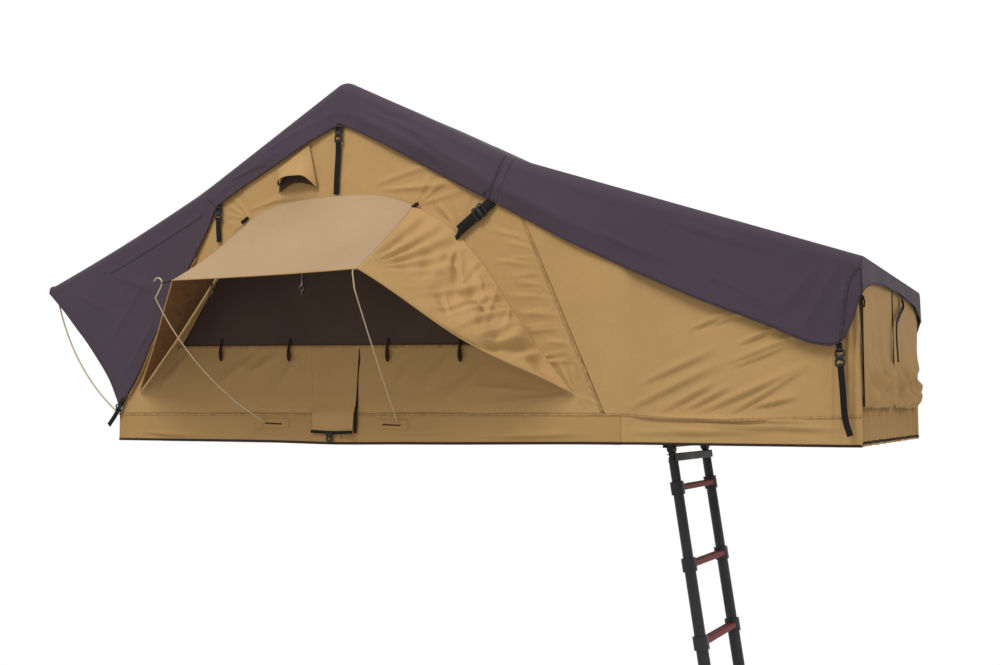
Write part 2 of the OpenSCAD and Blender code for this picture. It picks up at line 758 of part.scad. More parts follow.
module rails(k) {
  r = outer_r(k);
  color([0.09, 0.09, 0.1]) on_ladder()
    for (s = [-1, 1])
      translate([0, s * rail_y, 0])
        difference() {
          union() {
            if (k == 1) {
              // flat eye on the bracket pin
              translate([0, -bracket_gap / 2 + 1, 0]) rotate([-90, 0, 0])
                cylinder(h = bracket_gap - 2, r = 13);
              translate([-11, -bracket_gap / 2 + 1, -34]) cube([22, bracket_gap - 2, 34]);
              translate([0, 0, -tube_low(1)]) cylinder(h = tube_low(1) - 30, r = r);
            } else {
              translate([0, 0, -tube_low(k)]) cylinder(h = tube_low(k) - rung_s(k - 1), r = r);
              // collar that locks the section above
              translate([0, 0, -rung_s(k - 1) - collar_h / 2]) linear_extrude(height = collar_h)
                collar_2d(k);
            }
          }
          if (k == 1)
            translate([0, -bracket_gap / 2, 0]) rotate([-90, 0, 0])
              cylinder(h = bracket_gap, r = bolt_r + 0.05);
          else
            translate([0, 0, -tube_low(k) - 1])
              cylinder(h = tube_low(k) - rung_s(k - 1) + collar_h / 2 + 2, r = outer_r(k - 1) + tube_clear);
          // pocket for the release button on the lowest collar
          if (k == sections)
            translate([r + collar_wall - button_deep, 0, -rung_s(k - 1)]) rotate([0, 90, 0])
              cylinder(h = button_deep + 5, r = button_r + 0.4);
        }
}

module ladder_rails_1() {
  rails(1);
  color([0.09, 0.09, 0.1]) on_ladder() yoke();
}
module ladder_rails_2() { rails(2); }
module ladder_rails_3() { rails(3); }
module ladder_rails_4() { rails(4); }
module ladder_rails_5() { rails(5); }
module ladder_rails_6() { rails(6); }

// a rung between the collars of section k + 1, with a ribbed tread and ends cut to the collars
module rung(k) {
  color([0.36, 0.07, 0.08]) on_ladder()
    translate([0, 0, -rung_s(k)]) difference() {
      translate([0, -rail_y, 0]) rotate([-90, 0, 0]) linear_extrude(height = 2 * rail_y) {
        offset(r = 5) square([rung_w - 10, rung_h - 10], center = true);
        for (i = [-2:2])
          translate([i * 6 - 1.5, -rung_h / 2 - 1.5]) square([3, 4]);
      }
      for (s = [-1, 1])
        translate([0, s * rail_y, -collar_h / 2]) linear_extrude(height = collar_h) collar_2d(k + 1);
    }
}

module ladder_rung_1() { rung(1); }
module ladder_rung_2() { rung(2); }
module ladder_rung_3() { rung(3); }
module ladder_rung_4() { rung(4); }
module ladder_rung_5() { rung(5); }

module ladder_feet() {
  r = outer_r(sections);
  color([0.06, 0.06, 0.06]) on_ladder()
    for (s = [-1, 1])
      translate([0, s * rail_y, -tube_low(sections) - foot_h]) {
        cylinder(h = foot_h, r1 = r + 4, r2 = r + 2);
      }
}

// thumb buttons on the lowest collars that let the sections run together
module release_buttons() {
  r = outer_r(sections);
  color([0.55, 0.1, 0.1]) on_ladder()
    for (s = [-1, 1])
      translate([r + collar_wall - 0.5, s * rail_y, -rung_s(sections - 1)]) rotate([0, 90, 0]) {
        cylinder(h = 6, r = button_r);
        translate([0, 0, 6]) cylinder(h = 1.5, r1 = button_r, r2 = button_r - 2);
      }
}

mounting_rails();
rail_bolts();
base_panel_fixed();
mattress_fixed();
hinge_plates_fixed();
pivot_bolts_fixed();
rod_sockets_fixed();
awning_rod_fixed();
skirt_fixed();
wall_near_fixed();
wall_far_fixed();
end_wall();
roof_fixed();
window_mesh_fixed();
awning_fixed();
awning_gusset_fixed();
fly_roof_fixed();
fly_sides_fixed();
base_panel_fold();
mattress_fold();
hinge_plates_fold();
pivot_bolts_fold();
rod_sockets_fold();
awning_rod_fold();
skirt_fold();
wall_near_fold();
wall_far_fold();
roof_fold();
window_mesh_fold();
awning_fold();
awning_gusset_fold();
fly_roof_fold();
fly_sides_fold();
ladder_bracket();
hoop_left();
hoop_center();
hoop_right();
fly_arms();
fly_awning();
fly_wings();
entry_arms();
entry_wall_near();
entry_wall_far();
entry_end();
entry_roof();
fly_entry();
fly_entry_sides();
ladder_rails_1();
ladder_rails_2();
ladder_rails_3();
ladder_rails_4();
ladder_rails_5();
ladder_rails_6();
ladder_rung_1();
ladder_rung_2();
ladder_rung_3();
ladder_rung_4();
ladder_rung_5();
ladder_feet();
release_buttons();
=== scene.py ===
"""Fold-out roof tent: cloth, padding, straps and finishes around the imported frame. Metres, shared frame."""
import json
import math

import bmesh
import bpy
import numpy as np
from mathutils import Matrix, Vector


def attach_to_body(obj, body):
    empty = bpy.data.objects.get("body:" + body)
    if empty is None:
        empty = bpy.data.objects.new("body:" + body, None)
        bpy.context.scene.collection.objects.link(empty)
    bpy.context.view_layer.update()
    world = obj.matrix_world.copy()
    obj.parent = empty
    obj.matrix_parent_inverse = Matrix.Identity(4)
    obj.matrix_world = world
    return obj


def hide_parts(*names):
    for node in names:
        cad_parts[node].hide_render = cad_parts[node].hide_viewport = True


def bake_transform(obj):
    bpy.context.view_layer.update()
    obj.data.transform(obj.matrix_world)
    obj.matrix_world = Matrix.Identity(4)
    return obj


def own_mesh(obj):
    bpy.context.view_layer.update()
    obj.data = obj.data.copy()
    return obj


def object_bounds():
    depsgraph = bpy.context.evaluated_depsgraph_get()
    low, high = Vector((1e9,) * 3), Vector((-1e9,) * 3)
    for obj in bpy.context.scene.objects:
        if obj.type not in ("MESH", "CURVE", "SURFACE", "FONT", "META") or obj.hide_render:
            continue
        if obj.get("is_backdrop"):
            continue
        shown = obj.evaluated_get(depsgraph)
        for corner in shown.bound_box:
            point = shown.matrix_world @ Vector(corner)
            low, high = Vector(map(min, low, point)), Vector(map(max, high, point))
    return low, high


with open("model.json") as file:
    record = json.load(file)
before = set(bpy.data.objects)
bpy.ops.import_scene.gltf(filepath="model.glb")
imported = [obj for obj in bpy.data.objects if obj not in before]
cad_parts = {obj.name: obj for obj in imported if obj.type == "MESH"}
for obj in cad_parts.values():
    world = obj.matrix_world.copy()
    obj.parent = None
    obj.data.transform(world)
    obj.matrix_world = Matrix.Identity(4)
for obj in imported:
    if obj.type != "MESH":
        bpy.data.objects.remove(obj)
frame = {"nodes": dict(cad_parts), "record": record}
cad_low, cad_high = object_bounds()
scene = bpy.context.scene

# Main lines of the tent
FOLD_X, HINGE_Z = 0.570, 0.175
LEFT_X, END_X, ENTRY_X = -0.5838, 1.725, 2.529
WALL_Y, FLY_Y, NET_Y = 0.6913, 0.7045, 0.6892
SKIRT_TOP = 0.126
ROOF = [(-0.171, 1.039), (0.570, 1.415), (1.308, 1.043), (2.529, 0.610)]
FLY_TOP = [(-1.013, 0.697), (-0.150, 1.058), (0.562, 1.446), (1.318, 1.060), (2.541, 0.630)]
SIDES = (("near", -1), ("far", 1))
NEAR, END = (0, -1, 0), (1, 0, 0)

# Thicknesses, radii of a rolled hem and a zip's coil, and how far sewn tape lies outside its cloth
CLOTH, NET, WEBBING, TAPE, SEAM = 0.0016, 0.0007, 0.0016, 0.0014, 0.0012
HEM_R, COIL_R = 0.0024, 0.0022
SEWN, FLY_SEWN = 0.0012, 0.0014


# Numbers on arrays
def smooth(a, b, x):
    t = np.clip((x - a) / (b - a), 0, 1)
    return t * t * (3 - 2 * t)


def unit_grid(nu, nv):
    return np.linspace(0, 1, nu)[:, None], np.linspace(0, 1, nv)[None]


def circle(n):
    return np.linspace(0, 2 * math.pi, n, endpoint=False)


def xyz(x, y, z):
    return np.stack(np.broadcast_arrays(x, y, z), -1)


def stand(flat, y):
    """Points (x, z) of an upright plane, at the depth y."""
    return xyz(flat[..., 0], y, flat[..., 1])


def run(p):
    """Length along a polyline at each of its points."""
    return np.r_[0, np.cumsum(np.linalg.norm(np.diff(p, axis=0), axis=1))]


def at(points, n, round_by=0.0):
    """n points spaced along a polyline, with its corners rounded by quadratic curves."""
    p = np.array(points, float)
    if round_by > 0 and len(p) > 2:
        dense = [p[0]]
        for a, b, c in zip(p[:-2], p[1:-1], p[2:]):
            ba, bc = a - b, c - b
            ra = min(round_by, np.linalg.norm(ba) * 0.48)
            rc = min(round_by, np.linalg.norm(bc) * 0.48)
            s = b + ba / np.linalg.norm(ba) * ra
            e = b + bc / np.linalg.norm(bc) * rc
            for t in np.linspace(0, 1, 9):
                dense.append((1 - t) ** 2 * s + 2 * t * (1 - t) * b + t * t * e)
        p = np.array(dense + [p[-1]])
    d = run(p)
    s = np.linspace(0, d[-1], n)
    return np.stack([np.interp(s, d, p[:, k]) for k in range(p.shape[1])], 1)


def around(corners, steps):
    """Points along a closed outline, with a given count on each side."""
    sides = []
    for a, b, n in zip(corners, corners[1:] + corners[:1], steps):
        a, b = np.array(a), np.array(b)
        sides.append(a + (b - a) * np.linspace(0, 1, n, endpoint=False)[:, None])
    return np.concatenate(sides)


def coons(low, high, left, right):
    """Patch over four edges: low and high run along u, left and right along v."""
    u = np.linspace(0, 1, len(low))[:, None, None]
    v = np.linspace(0, 1, len(left))[None, :, None]
    rule_u = (1 - v) * low[:, None] + v * high[:, None]
    rule_v = (1 - u) * left[None] + u * right[None]
    corners = (1 - u) * (1 - v) * low[0] + u * (1 - v) * low[-1] + (1 - u) * v * high[0] + u * v * high[-1]
    return rule_u + rule_v - corners


def crease(x, z, a, b, width, height):
    """A ridge from a to b with a shallow dip beside it, fading out at both ends."""
    (ax, az), (bx, bz) = a, b
    length = math.hypot(bx - ax, bz - az)
    t = ((x - ax) * (bx - ax) + (z - az) * (bz - az)) / length ** 2
    d = ((x - ax) * (bz - az) - (z - az) * (bx - ax)) / length
    fade = np.where((t > 0) & (t < 1), np.sin(np.pi * np.clip(t, 0, 1)) ** 0.8, 0)
    w = width * (0.55 + 0.9 * np.clip(t, 0, 1))
    return height * fade * (np.exp(-np.abs(d / w) ** 1.3) - 0.45 * np.exp(-((d - 1.7 * w) / (1.3 * w)) ** 2))


def fan(x, z, centre, turns, lengths, width, height, start=0.0):
    """Creases that spread from one point."""
    total = 0
    for turn, length in zip(turns, lengths):
        c, s = math.cos(math.radians(turn)), math.sin(math.radians(turn))
        a = (centre[0] + start * c, centre[1] + start * s)
        total = total + crease(x, z, a, (centre[0] + length * c, centre[1] + length * s), width, height)
    return total


def ripples(x, z, seed, short, long, count=14):
    """Sum of waves with seeded directions, about 1 high."""
    rng = np.random.default_rng(seed)
    total = np.zeros(np.broadcast(x, z).shape)
    for _ in range(count):
        turn = rng.uniform(-math.pi, math.pi) / 2
        size = rng.uniform(short, long)
        phase = rng.uniform(0, 2 * math.pi)
        total += np.sin(2 * math.pi * (x * math.cos(turn) + z * math.sin(turn)) / size + phase) * size / long
    return total / math.sqrt(count)


def facets(a, b, seed):
    """Sharp packing creases: a few triangle waves in seeded directions, about 1 high."""
    rng = np.random.default_rng(seed)
    total = np.zeros_like(a)
    for size in (0.21, 0.15, 0.12, 0.09):
        turn, phase = rng.uniform(0, math.pi), rng.uniform(0, 1)
        bend = 0.012 * np.sin(17 * a + 13 * b + 6 * phase)
        t = (a * math.cos(turn) + b * math.sin(turn) + bend) / size + phase
        total = total + (np.abs(2 * (t - np.floor(t)) - 1) - 0.5) * size / 0.21
    return total


# Meshes
def add_mesh(name, verts, faces, uv, flat_faces=()):
    me = bpy.data.meshes.new(name)
    me.from_pydata([tuple(v) for v in verts], [], [tuple(f) for f in faces])
    loops = np.zeros(len(me.loops), np.int32)
    me.loops.foreach_get("vertex_index", loops)
    me.uv_layers.new(name="cloth").uv.foreach_set("vector", np.asarray(uv)[loops].astype(np.float32).ravel())
    shade = np.ones(len(me.polygons), bool)
    shade[list(flat_faces)] = False
    me.polygons.foreach_set("use_smooth", shade)
    me.update()
    ob = bpy.data.objects.new(name, me)
    scene.collection.objects.link(ob)
    return ob


def normals_of(p, wrap):
    du = np.roll(p, -1, 0) - np.roll(p, 1, 0) if wrap else np.gradient(p, axis=0)
    n = np.cross(du, np.gradient(p, axis=1))
    size = np.linalg.norm(n, axis=2, keepdims=True)
    mean = (n / np.maximum(size, 1e-9)).mean((0, 1))
    return np.where(size > 1e-10, n / np.maximum(size, 1e-10), mean / max(np.linalg.norm(mean), 1e-9))


def weld(ob):
    """Joins points that fall together and drops faces without area."""
    bm = bmesh.new()
    bm.from_mesh(ob.data)
    bmesh.ops.remove_doubles(bm, verts=bm.verts, dist=2e-5)
    bmesh.ops.dissolve_degenerate(bm, edges=bm.edges, dist=1e-6)
    bm.to_mesh(ob.data)
    bm.free()


def cloth(name, p, wrap=False, thick=CLOTH):
    """A closed sheet around a grid of mid-surface points; wrap joins its first and last columns."""
    nu, nv = p.shape[:2]
    more = nu * nv

    def rim(a, b):
        return np.stack([a, a + more, b + more, b], 1)

    n = normals_of(p, wrap) * thick / 2
    verts = np.concatenate([(p + n).reshape(-1, 3), (p - n).reshape(-1, 3)])
    uv = np.stack(np.meshgrid(run(p[:, nv // 2]), run(p[nu // 2]), indexing="ij"), 2).reshape(-1, 2)
    ids = np.arange(more).reshape(nu, nv)
    ring = np.r_[ids, ids[:1]] if wrap else ids
    a, b, c, d = ring[:-1, :-1], ring[1:, :-1], ring[1:, 1:], ring[:-1, 1:]
    top = np.stack([a, b, c, d], 2).reshape(-1, 4)
    low = np.stack([a, d, c, b], 2).reshape(-1, 4) + more
    rims = [rim(ring[:-1, 0], ring[1:, 0]), rim(ring[1:, -1], ring[:-1, -1])]
    if not wrap:
        rims += [rim(ids[0, 1:], ids[0, :-1]), rim(ids[-1, :-1], ids[-1, 1:])]
    faces = np.concatenate([top, low] + rims)
    first = len(top) + len(low)
    ob = add_mesh(name, verts, faces.tolist(), np.concatenate([uv, uv]), range(first, len(faces)))
    weld(ob)
    return ob


def sweep(name, path, section, normal=None):
    """A section of (side, up) points carried along a path; up is the given normal or stays steady."""
    p = np.array(path, float)
    t = np.gradient(p, axis=0)
    t /= np.linalg.norm(t, axis=1, keepdims=True)
    if normal is None:
        up = np.array([0.31, 0.17, 0.94] if abs(t[0, 2]) < 0.8 else [0.94, 0.17, 0.31])
        ups = []
        for way in t:
            up = up - way * (up @ way)
            up = up / np.linalg.norm(up)
            ups.append(up)
        up = np.array(ups)
    else:
        up = np.broadcast_to(np.array(normal, float), p.shape)
        up = up - t * (up * t).sum(1, keepdims=True)
        up = up / np.linalg.norm(up, axis=1, keepdims=True)
    side = np.cross(t, up)
    sec = np.array(section, float)
    verts = (p[:, None] + side[:, None] * sec[None, :, :1] + up[:, None] * sec[None, :, 1:]).reshape(-1, 3)
    n, k = len(p), len(sec)
    uv = np.stack(np.meshgrid(run(p), sec[:, 0], indexing="ij"), 2).reshape(-1, 2)
    faces = []
    for i in range(n - 1):
        for j in range(k):
            a, b = i * k + j, i * k + (j + 1) % k
            faces.append((a, a + k, b + k, b))
    faces.append(tuple(range(k)))
    faces.append(tuple(reversed(range((n - 1) * k, n * k))))
    return add_mesh(name, verts, faces, uv, [len(faces) - 1, len(faces) - 2])


def tube(name, path, r, sides=8):
    turn = circle(sides)
    return sweep(name, path, np.stack([np.cos(turn) * r, np.sin(turn) * r], 1))


def ribbon(name, path, width, thick, normal):
    w, h, c = width / 2, thick / 2, min(thick, width) * 0.3
    section = [(-w, -h + c), (-w + c, -h), (w - c, -h), (w, -h + c),
               (w, h - c), (w - c, h), (-w + c, h), (-w, h - c)]
    return sweep(name, path, section, normal)


def join(name, parts):
    bpy.ops.object.select_all(action="DESELECT")
    for ob in parts:
        ob.select_set(True)
    bpy.context.view_layer.objects.active = parts[0]
    bpy.ops.object.join()
    parts[0].name = parts[0].data.name = name
    return parts[0]


def loft(name, rings):
    """A closed form through rings of equal count, capped by fans at both ends."""
    r = np.array(rings, float)
    n, k = r.shape[:2]
    verts = np.concatenate([r.reshape(-1, 3), r[0].mean(0)[None], r[-1].mean(0)[None]])
    faces = []
    for i in range(n - 1):
        for j in range(k):
            faces.append((i * k + j, i * k + (j + 1) % k, (i + 1) * k + (j + 1) % k, (i + 1) * k + j))
    for j in range(k):
        faces.append((n * k, (j + 1) % k, j))
        faces.append((n * k + 1, (n - 1) * k + j, (n - 1) * k + (j + 1) % k))
    return add_mesh(name, verts, faces, verts[:, :2])


# Materials
def srgb(r, g, b):
    return tuple(((c / 255 + 0.055) / 1.055) ** 2.4 if c > 10 else c / 255 / 12.92 for c in (r, g, b)) + (1,)


def tone(colour, k):
    return tuple(min(1, c * k) for c in colour[:3]) + (1,)


class Nodes:
    """Short hand for one material's nodes; place is a point on its piece."""

    def __init__(self, name, rough, metallic=0.0):
        self.mat = bpy.data.materials.new(name)
        self.mat.use_nodes = True
        self.tree = self.mat.node_tree
        self.tree.nodes.clear()
        self.bsdf = self.add("ShaderNodeBsdfPrincipled", Roughness=rough, Metallic=metallic)
        self.link(self.bsdf.outputs[0], self.add("ShaderNodeOutputMaterial").inputs[0])
        self.place = self.add("ShaderNodeTexCoord").outputs["Object"]

    def add(self, kind, **values):
        node = self.tree.nodes.new(kind)
        for key, value in values.items():
            if hasattr(node, key) and key not in node.inputs:
                setattr(node, key, value)
            else:
                node.inputs[key].default_value = value
        return node

    def link(self, a, b):
        self.tree.links.new(a, b)

    def math(self, op, a, b):
        node = self.add("ShaderNodeMath", operation=op)
        for k, v in enumerate((a, b)):
            if isinstance(v, (int, float)):
                node.inputs[k].default_value = v
            else:
                self.link(v, node.inputs[k])
        return node.outputs[0]

    def mixed(self, *parts):
        """Sum of values, each times its share."""
        total = None
        for value, share in parts:
            scaled = self.math("MULTIPLY", value, share)
            total = scaled if total is None else self.math("ADD", total, scaled)
        return total

    def noise(self, vector, scale, detail=3.0):
        node = self.add("ShaderNodeTexNoise", Scale=scale, Detail=detail)
        self.link(vector, node.inputs["Vector"])
        return node.outputs[0]

    def uv(self):
        return self.add("ShaderNodeUVMap", uv_map="cloth").outputs[0]

    def waves(self, pitch, way, distortion=0.0):
        """Threads of the cloth at a pitch in metres, along X or Y of its cut."""
        node = self.add("ShaderNodeTexWave", Scale=2 * math.pi / 20 / pitch, Distortion=distortion,
                        bands_direction=way)
        self.link(self.uv(), node.inputs["Vector"])
        return node.outputs[1]

    def ramp(self, value, stops):
        node = self.add("ShaderNodeValToRGB")
        while len(node.color_ramp.elements) < len(stops):
            node.color_ramp.elements.new(0.5)
        for e, (place, colour) in zip(node.color_ramp.elements, stops):
            e.position, e.color = place, colour
        self.link(value, node.inputs[0])
        return node.outputs[0]

    def bump(self, height, strength, distance, before=None):
        node = self.add("ShaderNodeBump", Strength=strength, Distance=distance)
        self.link(height, node.inputs["Height"])
        if before is not None:
            self.link(before, node.inputs["Normal"])
        return node.outputs[0]

    def shade(self, colour, normal, specular=0.5):
        """Gives the surface its colour, bump and share of shine."""
        self.link(colour, self.bsdf.inputs["Base Color"])
        self.link(normal, self.bsdf.inputs["Normal"])
        self.bsdf.inputs["Specular IOR Level"].default_value = specular
        return self.mat


def woven(name, colour, rough=0.86, thread=0.0011, weave=0.35, crinkle=0.5, mottle=0.1):
    """Canvas or coated cloth: threads both ways, soft crinkles, faded and dusty patches."""
    m = Nodes(name, rough)
    threads = m.math("MULTIPLY", m.math("ADD", m.waves(thread, "X", 0.6), m.waves(thread, "Y", 0.6)), 0.5)
    mix = m.mixed((m.noise(m.place, 2.3, 5.0), 0.65), (m.noise(m.place, 160.0, 2.0), 0.2), (threads, 0.15))
    shown = m.ramp(mix, [(0.28, tone(colour, 1 - mottle)), (0.5, colour), (0.74, tone(colour, 1 + mottle))])
    soft = m.bump(m.noise(m.place, 26.0, 4.0), crinkle, 0.004)
    m.bsdf.inputs["Sheen Weight"].default_value = 0.03
    m.bsdf.inputs["Sheen Roughness"].default_value = 0.6
    return m.shade(shown, m.bump(threads, weave, 0.0004, soft), 0.12)


def webbing(name, colour, stitch=None):
    """Ribbed tape; with a stitch colour it carries two rows of thread along its edges."""
    m = Nodes(name, 0.75)
    base = m.ramp(m.noise(m.place, 60.0, 3.0), [(0.3, tone(colour, 0.8)), (0.7, tone(colour, 1.2))])
    if stitch:
        parts = m.add("ShaderNodeSeparateXYZ")
        m.link(m.uv(), parts.inputs[0])
        along = m.math("FRACT", m.math("MULTIPLY", parts.outputs[0], 200.0), 0.0)
        away = m.math("SUBTRACT", m.math("ABSOLUTE", parts.outputs[1], 0.0), 0.0035)
        row = m.math("LESS_THAN", m.math("ABSOLUTE", away, 0.0), 0.0007)
        mix = m.add("ShaderNodeMix", data_type="RGBA")
        m.link(m.math("MULTIPLY", m.math("GREATER_THAN", along, 0.35), row), mix.inputs[0])
        m.link(base, mix.inputs[6])
        mix.inputs[7].default_value = stitch
        base = mix.outputs[2]
    return m.shade(base, m.bump(m.waves(0.0016, "X"), 0.4, 0.0005), 0.15)


def netting(name, colour):
    """Fine insect net, opaque and dark, with its square mesh in the bump and colour; its dark colour is
    partly painted shade of the dim inside behind it.
    """
    m = Nodes(name, 0.9)
    knots = m.math("MAXIMUM", m.waves(0.0016, "X"), m.waves(0.0016, "Y"))
    mix = m.mixed((knots, 0.35), (m.noise(m.place, 3.0, 4.0), 0.5))
    shown = m.ramp(mix, [(0.3, tone(colour, 0.7)), (0.7, tone(colour, 1.25))])
    return m.shade(shown, m.bump(knots, 0.5, 0.0004), 0.1)


def metal(name, colour, rough, grain=0.15, metallic=1.0):
    """Drawn or anodised metal with lengthwise grain and handled, duller patches."""
    m = Nodes(name, rough, metallic)
    stretch = m.add("ShaderNodeMapping", Scale=(40, 220, 220))
    m.link(m.place, stretch.inputs["Vector"])
    grainy = m.noise(stretch.outputs[0], 1.0, 3.0)
    worn = m.noise(m.place, 7.0, 5.0)
    tones = [(0.32, tone(colour, 0.86)), (0.66, tone(colour, 1.1))]
    shown = m.ramp(m.mixed((grainy, 0.4), (worn, 0.6)), tones)
    dull = [(0.3, (rough * 0.8,) * 3 + (1,)), (0.7, (min(1, rough * 1.25),) * 3 + (1,))]
    m.link(m.ramp(worn, dull), m.bsdf.inputs["Roughness"])
    return m.shade(shown, m.bump(grainy, grain, 0.0003))


def moulded(name, colour, rough=0.5):
    """Moulded plastic or rubber with a fine grain and paler scuffs."""
    m = Nodes(name, rough)
    scuffs = [(0.35, tone(colour, 0.85)), (0.62, colour), (0.8, tone(colour, 1.7))]
    shown = m.ramp(m.noise(m.place, 18.0, 6.0), scuffs)
    return m.shade(shown, m.bump(m.noise(m.place, 900.0, 2.0), 0.2, 0.0003), 0.3)


MAT = {
    "canvas": woven("canvas", srgb(180, 144, 94)),
    "canvas_low": woven("canvas_low", srgb(172, 136, 86)),
    # Awning canvas: the plain canvas made paler and greyer, a painted sheen of the top light and sky
    "canvas_pale": woven("canvas_pale", srgb(170, 143, 110), crinkle=0.3),
    # Inner side of the left gusset: darker canvas, partly its coated inner side and partly painted shade
    "canvas_in_painted_shade": woven("canvas_in_painted_shade", srgb(112, 76, 40)),
    "fly": woven("fly", srgb(71, 59, 69), rough=0.72, thread=0.0008, weave=0.25, crinkle=0.35, mottle=0.09),
    # The net's dark colour is partly painted shade of the inside behind it
    "net": netting("net", srgb(82, 66, 58)),
    "strap": webbing("strap", srgb(22, 19, 19)),
    "seam": webbing("seam", srgb(170, 134, 86), srgb(120, 90, 55)),
    "fly_seam": webbing("fly_seam", srgb(64, 53, 62), srgb(48, 40, 47)),
    # Dark binding tape; the hinge_gap strip also uses it as painted shadow
    "edge": webbing("edge", srgb(52, 40, 30)),
    "loop": webbing("loop", srgb(44, 31, 22)),
    "zip": webbing("zip", srgb(34, 28, 26)),
    "mattress": woven("mattress", srgb(88, 88, 92), thread=0.002, weave=0.5),
    "rod": metal("rod", srgb(184, 166, 134), 0.45, 0.1, 0.3),
    "alu": metal("alu", srgb(196, 198, 202), 0.38),
    "panel": metal("panel", srgb(170, 172, 175), 0.5),
    "zinc": metal("zinc", srgb(165, 167, 170), 0.4),
    "black": moulded("black", srgb(26, 25, 27)),
    "rubber": moulded("rubber", srgb(26, 26, 27), 0.8),
    "ladder": metal("ladder", srgb(25, 24, 26), 0.48, 0.2, 0.2),
    "red": moulded("red", srgb(124, 40, 36), 0.6),
    # Ladder bracket: a darker copy of the red, partly its own dark red and partly painted shade under the
    # base
    "dark_red_painted_shade": metal("dark_red_painted_shade", srgb(46, 24, 24), 0.5, 0.2, 0.3),
}

# The material of each slot, and the slot of each material
MATERIAL_OF = {"raw_aluminium": "alu", "panel": "panel", "zinc_steel": "zinc", "spring_steel": "rod",
               "black_plastic": "black", "ladder_black": "ladder", "ladder_red": "red", "rubber": "rubber",
               "canvas": "canvas", "canvas_skirt": "canvas_low", "mesh": "net", "fly": "fly",
               "mattress": "mattress"}
SLOT_OF = {mat: slot for slot, mat in MATERIAL_OF.items()}
SLOT_OF.update(strap="black_plastic", loop="black_plastic", zip="black_plastic", canvas_pale="canvas",
               seam="canvas", edge="canvas_skirt", fly_seam="fly")


# Moving with the frame
def finish_piece(ob, mat, nodes):
    ob.data.materials.clear()
    ob.data.materials.append(MAT[mat])
    if nodes:
        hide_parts(*nodes)


def folds(ob, mat, nodes=(), slot_name=None):
    """Cloth between the two halves: takes its material, hides the frame parts it stands for and has its
    placement baked into its mesh.
    """
    finish_piece(ob, mat, nodes)
    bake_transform(ob)
    co = np.zeros(len(ob.data.vertices) * 3)
    ob.data.vertices.foreach_get("co", co)


def rides(ob, body, mat, nodes=()):
    finish_piece(ob, mat, nodes)
    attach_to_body(ob, body)


def on_fly_rods(ob, mat, nodes=()):
    """Cloth of the left fly: rides on the fly rods' body with a mesh of its own."""
    rides(ob, "fly_rods", mat, nodes)
    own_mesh(ob)


def on_entrance(ob, mat, nodes=()):
    """Cloth of the entrance: rides on the entrance's body with a mesh of its own."""
    rides(ob, "entrance", mat, nodes)
    if SLOT_OF[mat] == "fly":
        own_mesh(ob)
    else:
        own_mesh(ob)


for part in frame["record"]["subparts"]:
    ob = frame["nodes"][part["node"]]
    ob.data.materials.clear()
    ob.data.materials.append(MAT[MATERIAL_OF[part["material_slot"]]])
# The bracket takes the darker red, which carries painted shade from under the base
frame["nodes"]["ladder_bracket"].data.materials[0] = MAT["dark_red_painted_shade"]

# Camera at the photograph's place
camera = bpy.data.objects.new("camera", bpy.data.cameras.new("camera"))
scene.collection.objects.link(camera)
camera.data.lens = 42.71
camera.data.sensor_width = 36
camera.location = (3.195, -4.556, 0.136)
yaw, pitch = math.radians(26.645), math.radians(3.78)
camera.rotation_euler = (math.pi / 2 + pitch, 0, yaw)
scene.camera = camera

# Side walls: a ring of canvas around the window on the near side, a plain wall on the far side
SEAM_LOW, SEAM_TOP = (1.661, SKIRT_TOP), (1.250, 1.072)
OUTER = [(LEFT_X, SKIRT_TOP), SEAM_LOW, SEAM_TOP, ROOF[1], ROOF[0]]
WINDOW = [(-0.245, 0.408), (1.350, 0.375), (0.888, 0.906), (0.570, 0.955), (0.098, 0.906)]
RING_STEPS = [190, 110, 70, 70, 90]
TOP_L, TOP_R = (0.115, 0.917), (0.897, 0.916)
FOOT_L, FOOT_R = (-0.468, 0.218), (1.548, 0.196)
STRAP_C_END = (1.090, 0.800)

# Pulls on the near wall as centre, angles, lengths, width, height and start
WALL_FANS = (
    (FOOT_R, (4, 30, 52, 76, 98, 118, -20, -42), (0.10, 0.09, 0.13, 0.15, 0.10, 0.16, 0.09, 0.08),
     0.009, 0.007, 0.01),
    (FOOT_R, (176, 186, 194), (0.46, 0.34, 0.22), 0.016, 0.005, 0.02),
    (STRAP_C_END, (40, 58, 74, 96, 128, 150), (0.16, 0.15, 0.17, 0.12, 0.17, 0.19), 0.011, 0.0065, 0.01),
    (TOP_R, (12, 34, 60), (0.22, 0.20, 0.15), 0.010, 0.006, 0.015),
    (TOP_L, (132, 150, 166, 184, 200), (0.15, 0.15, 0.14, 0.13, 0.11), 0.009, 0.0065, 0.01))

# Single folds above the window as start, end, width and height, and below it as start and end
TOP_FOLDS = (((0.74, 0.990), (1.12, 0.985), 0.014, 0.007), ((0.70, 1.010), (1.02, 1.085), 0.016, 0.006),
             ((0.20, 0.985), (0.48, 1.000), 0.014, 0.005), ((0.10, 0.960), (0.34, 1.010), 0.012, 0.005))
LOW_FOLDS = (((0.174, 0.377), (-0.100, 0.215)), ((0.261, 0.367), (0.090, 0.270)),
             ((0.360, 0.36), (0.230, 0.190)), ((0.880, 0.330), (0.800, 0.180)),
             ((1.030, 0.340), (0.920, 0.200)), ((-0.20, 0.38), (-0.40, 0.19)), ((1.20, 0.31), (1.02, 0.17)))

# Pulls on the far wall
FAR_FANS = (
    ((1.56, 0.15), (100, 120, 140, 160), (0.4, 0.5, 0.45, 0.3), 0.012, 0.007),
    ((-0.50, 0.15), (20, 40, 62, 80), (0.4, 0.5, 0.5, 0.4), 0.012, 0.007),
    ((0.57, 1.38), (220, 245, 268, 292, 318), (0.5, 0.45, 0.35, 0.45, 0.5), 0.014, 0.006, 0.03))


def seam_x(z):
    return SEAM_LOW[0] + (z - SEAM_LOW[1]) * (SEAM_TOP[0] - SEAM_LOW[0]) / (SEAM_TOP[1] - SEAM_LOW[1])


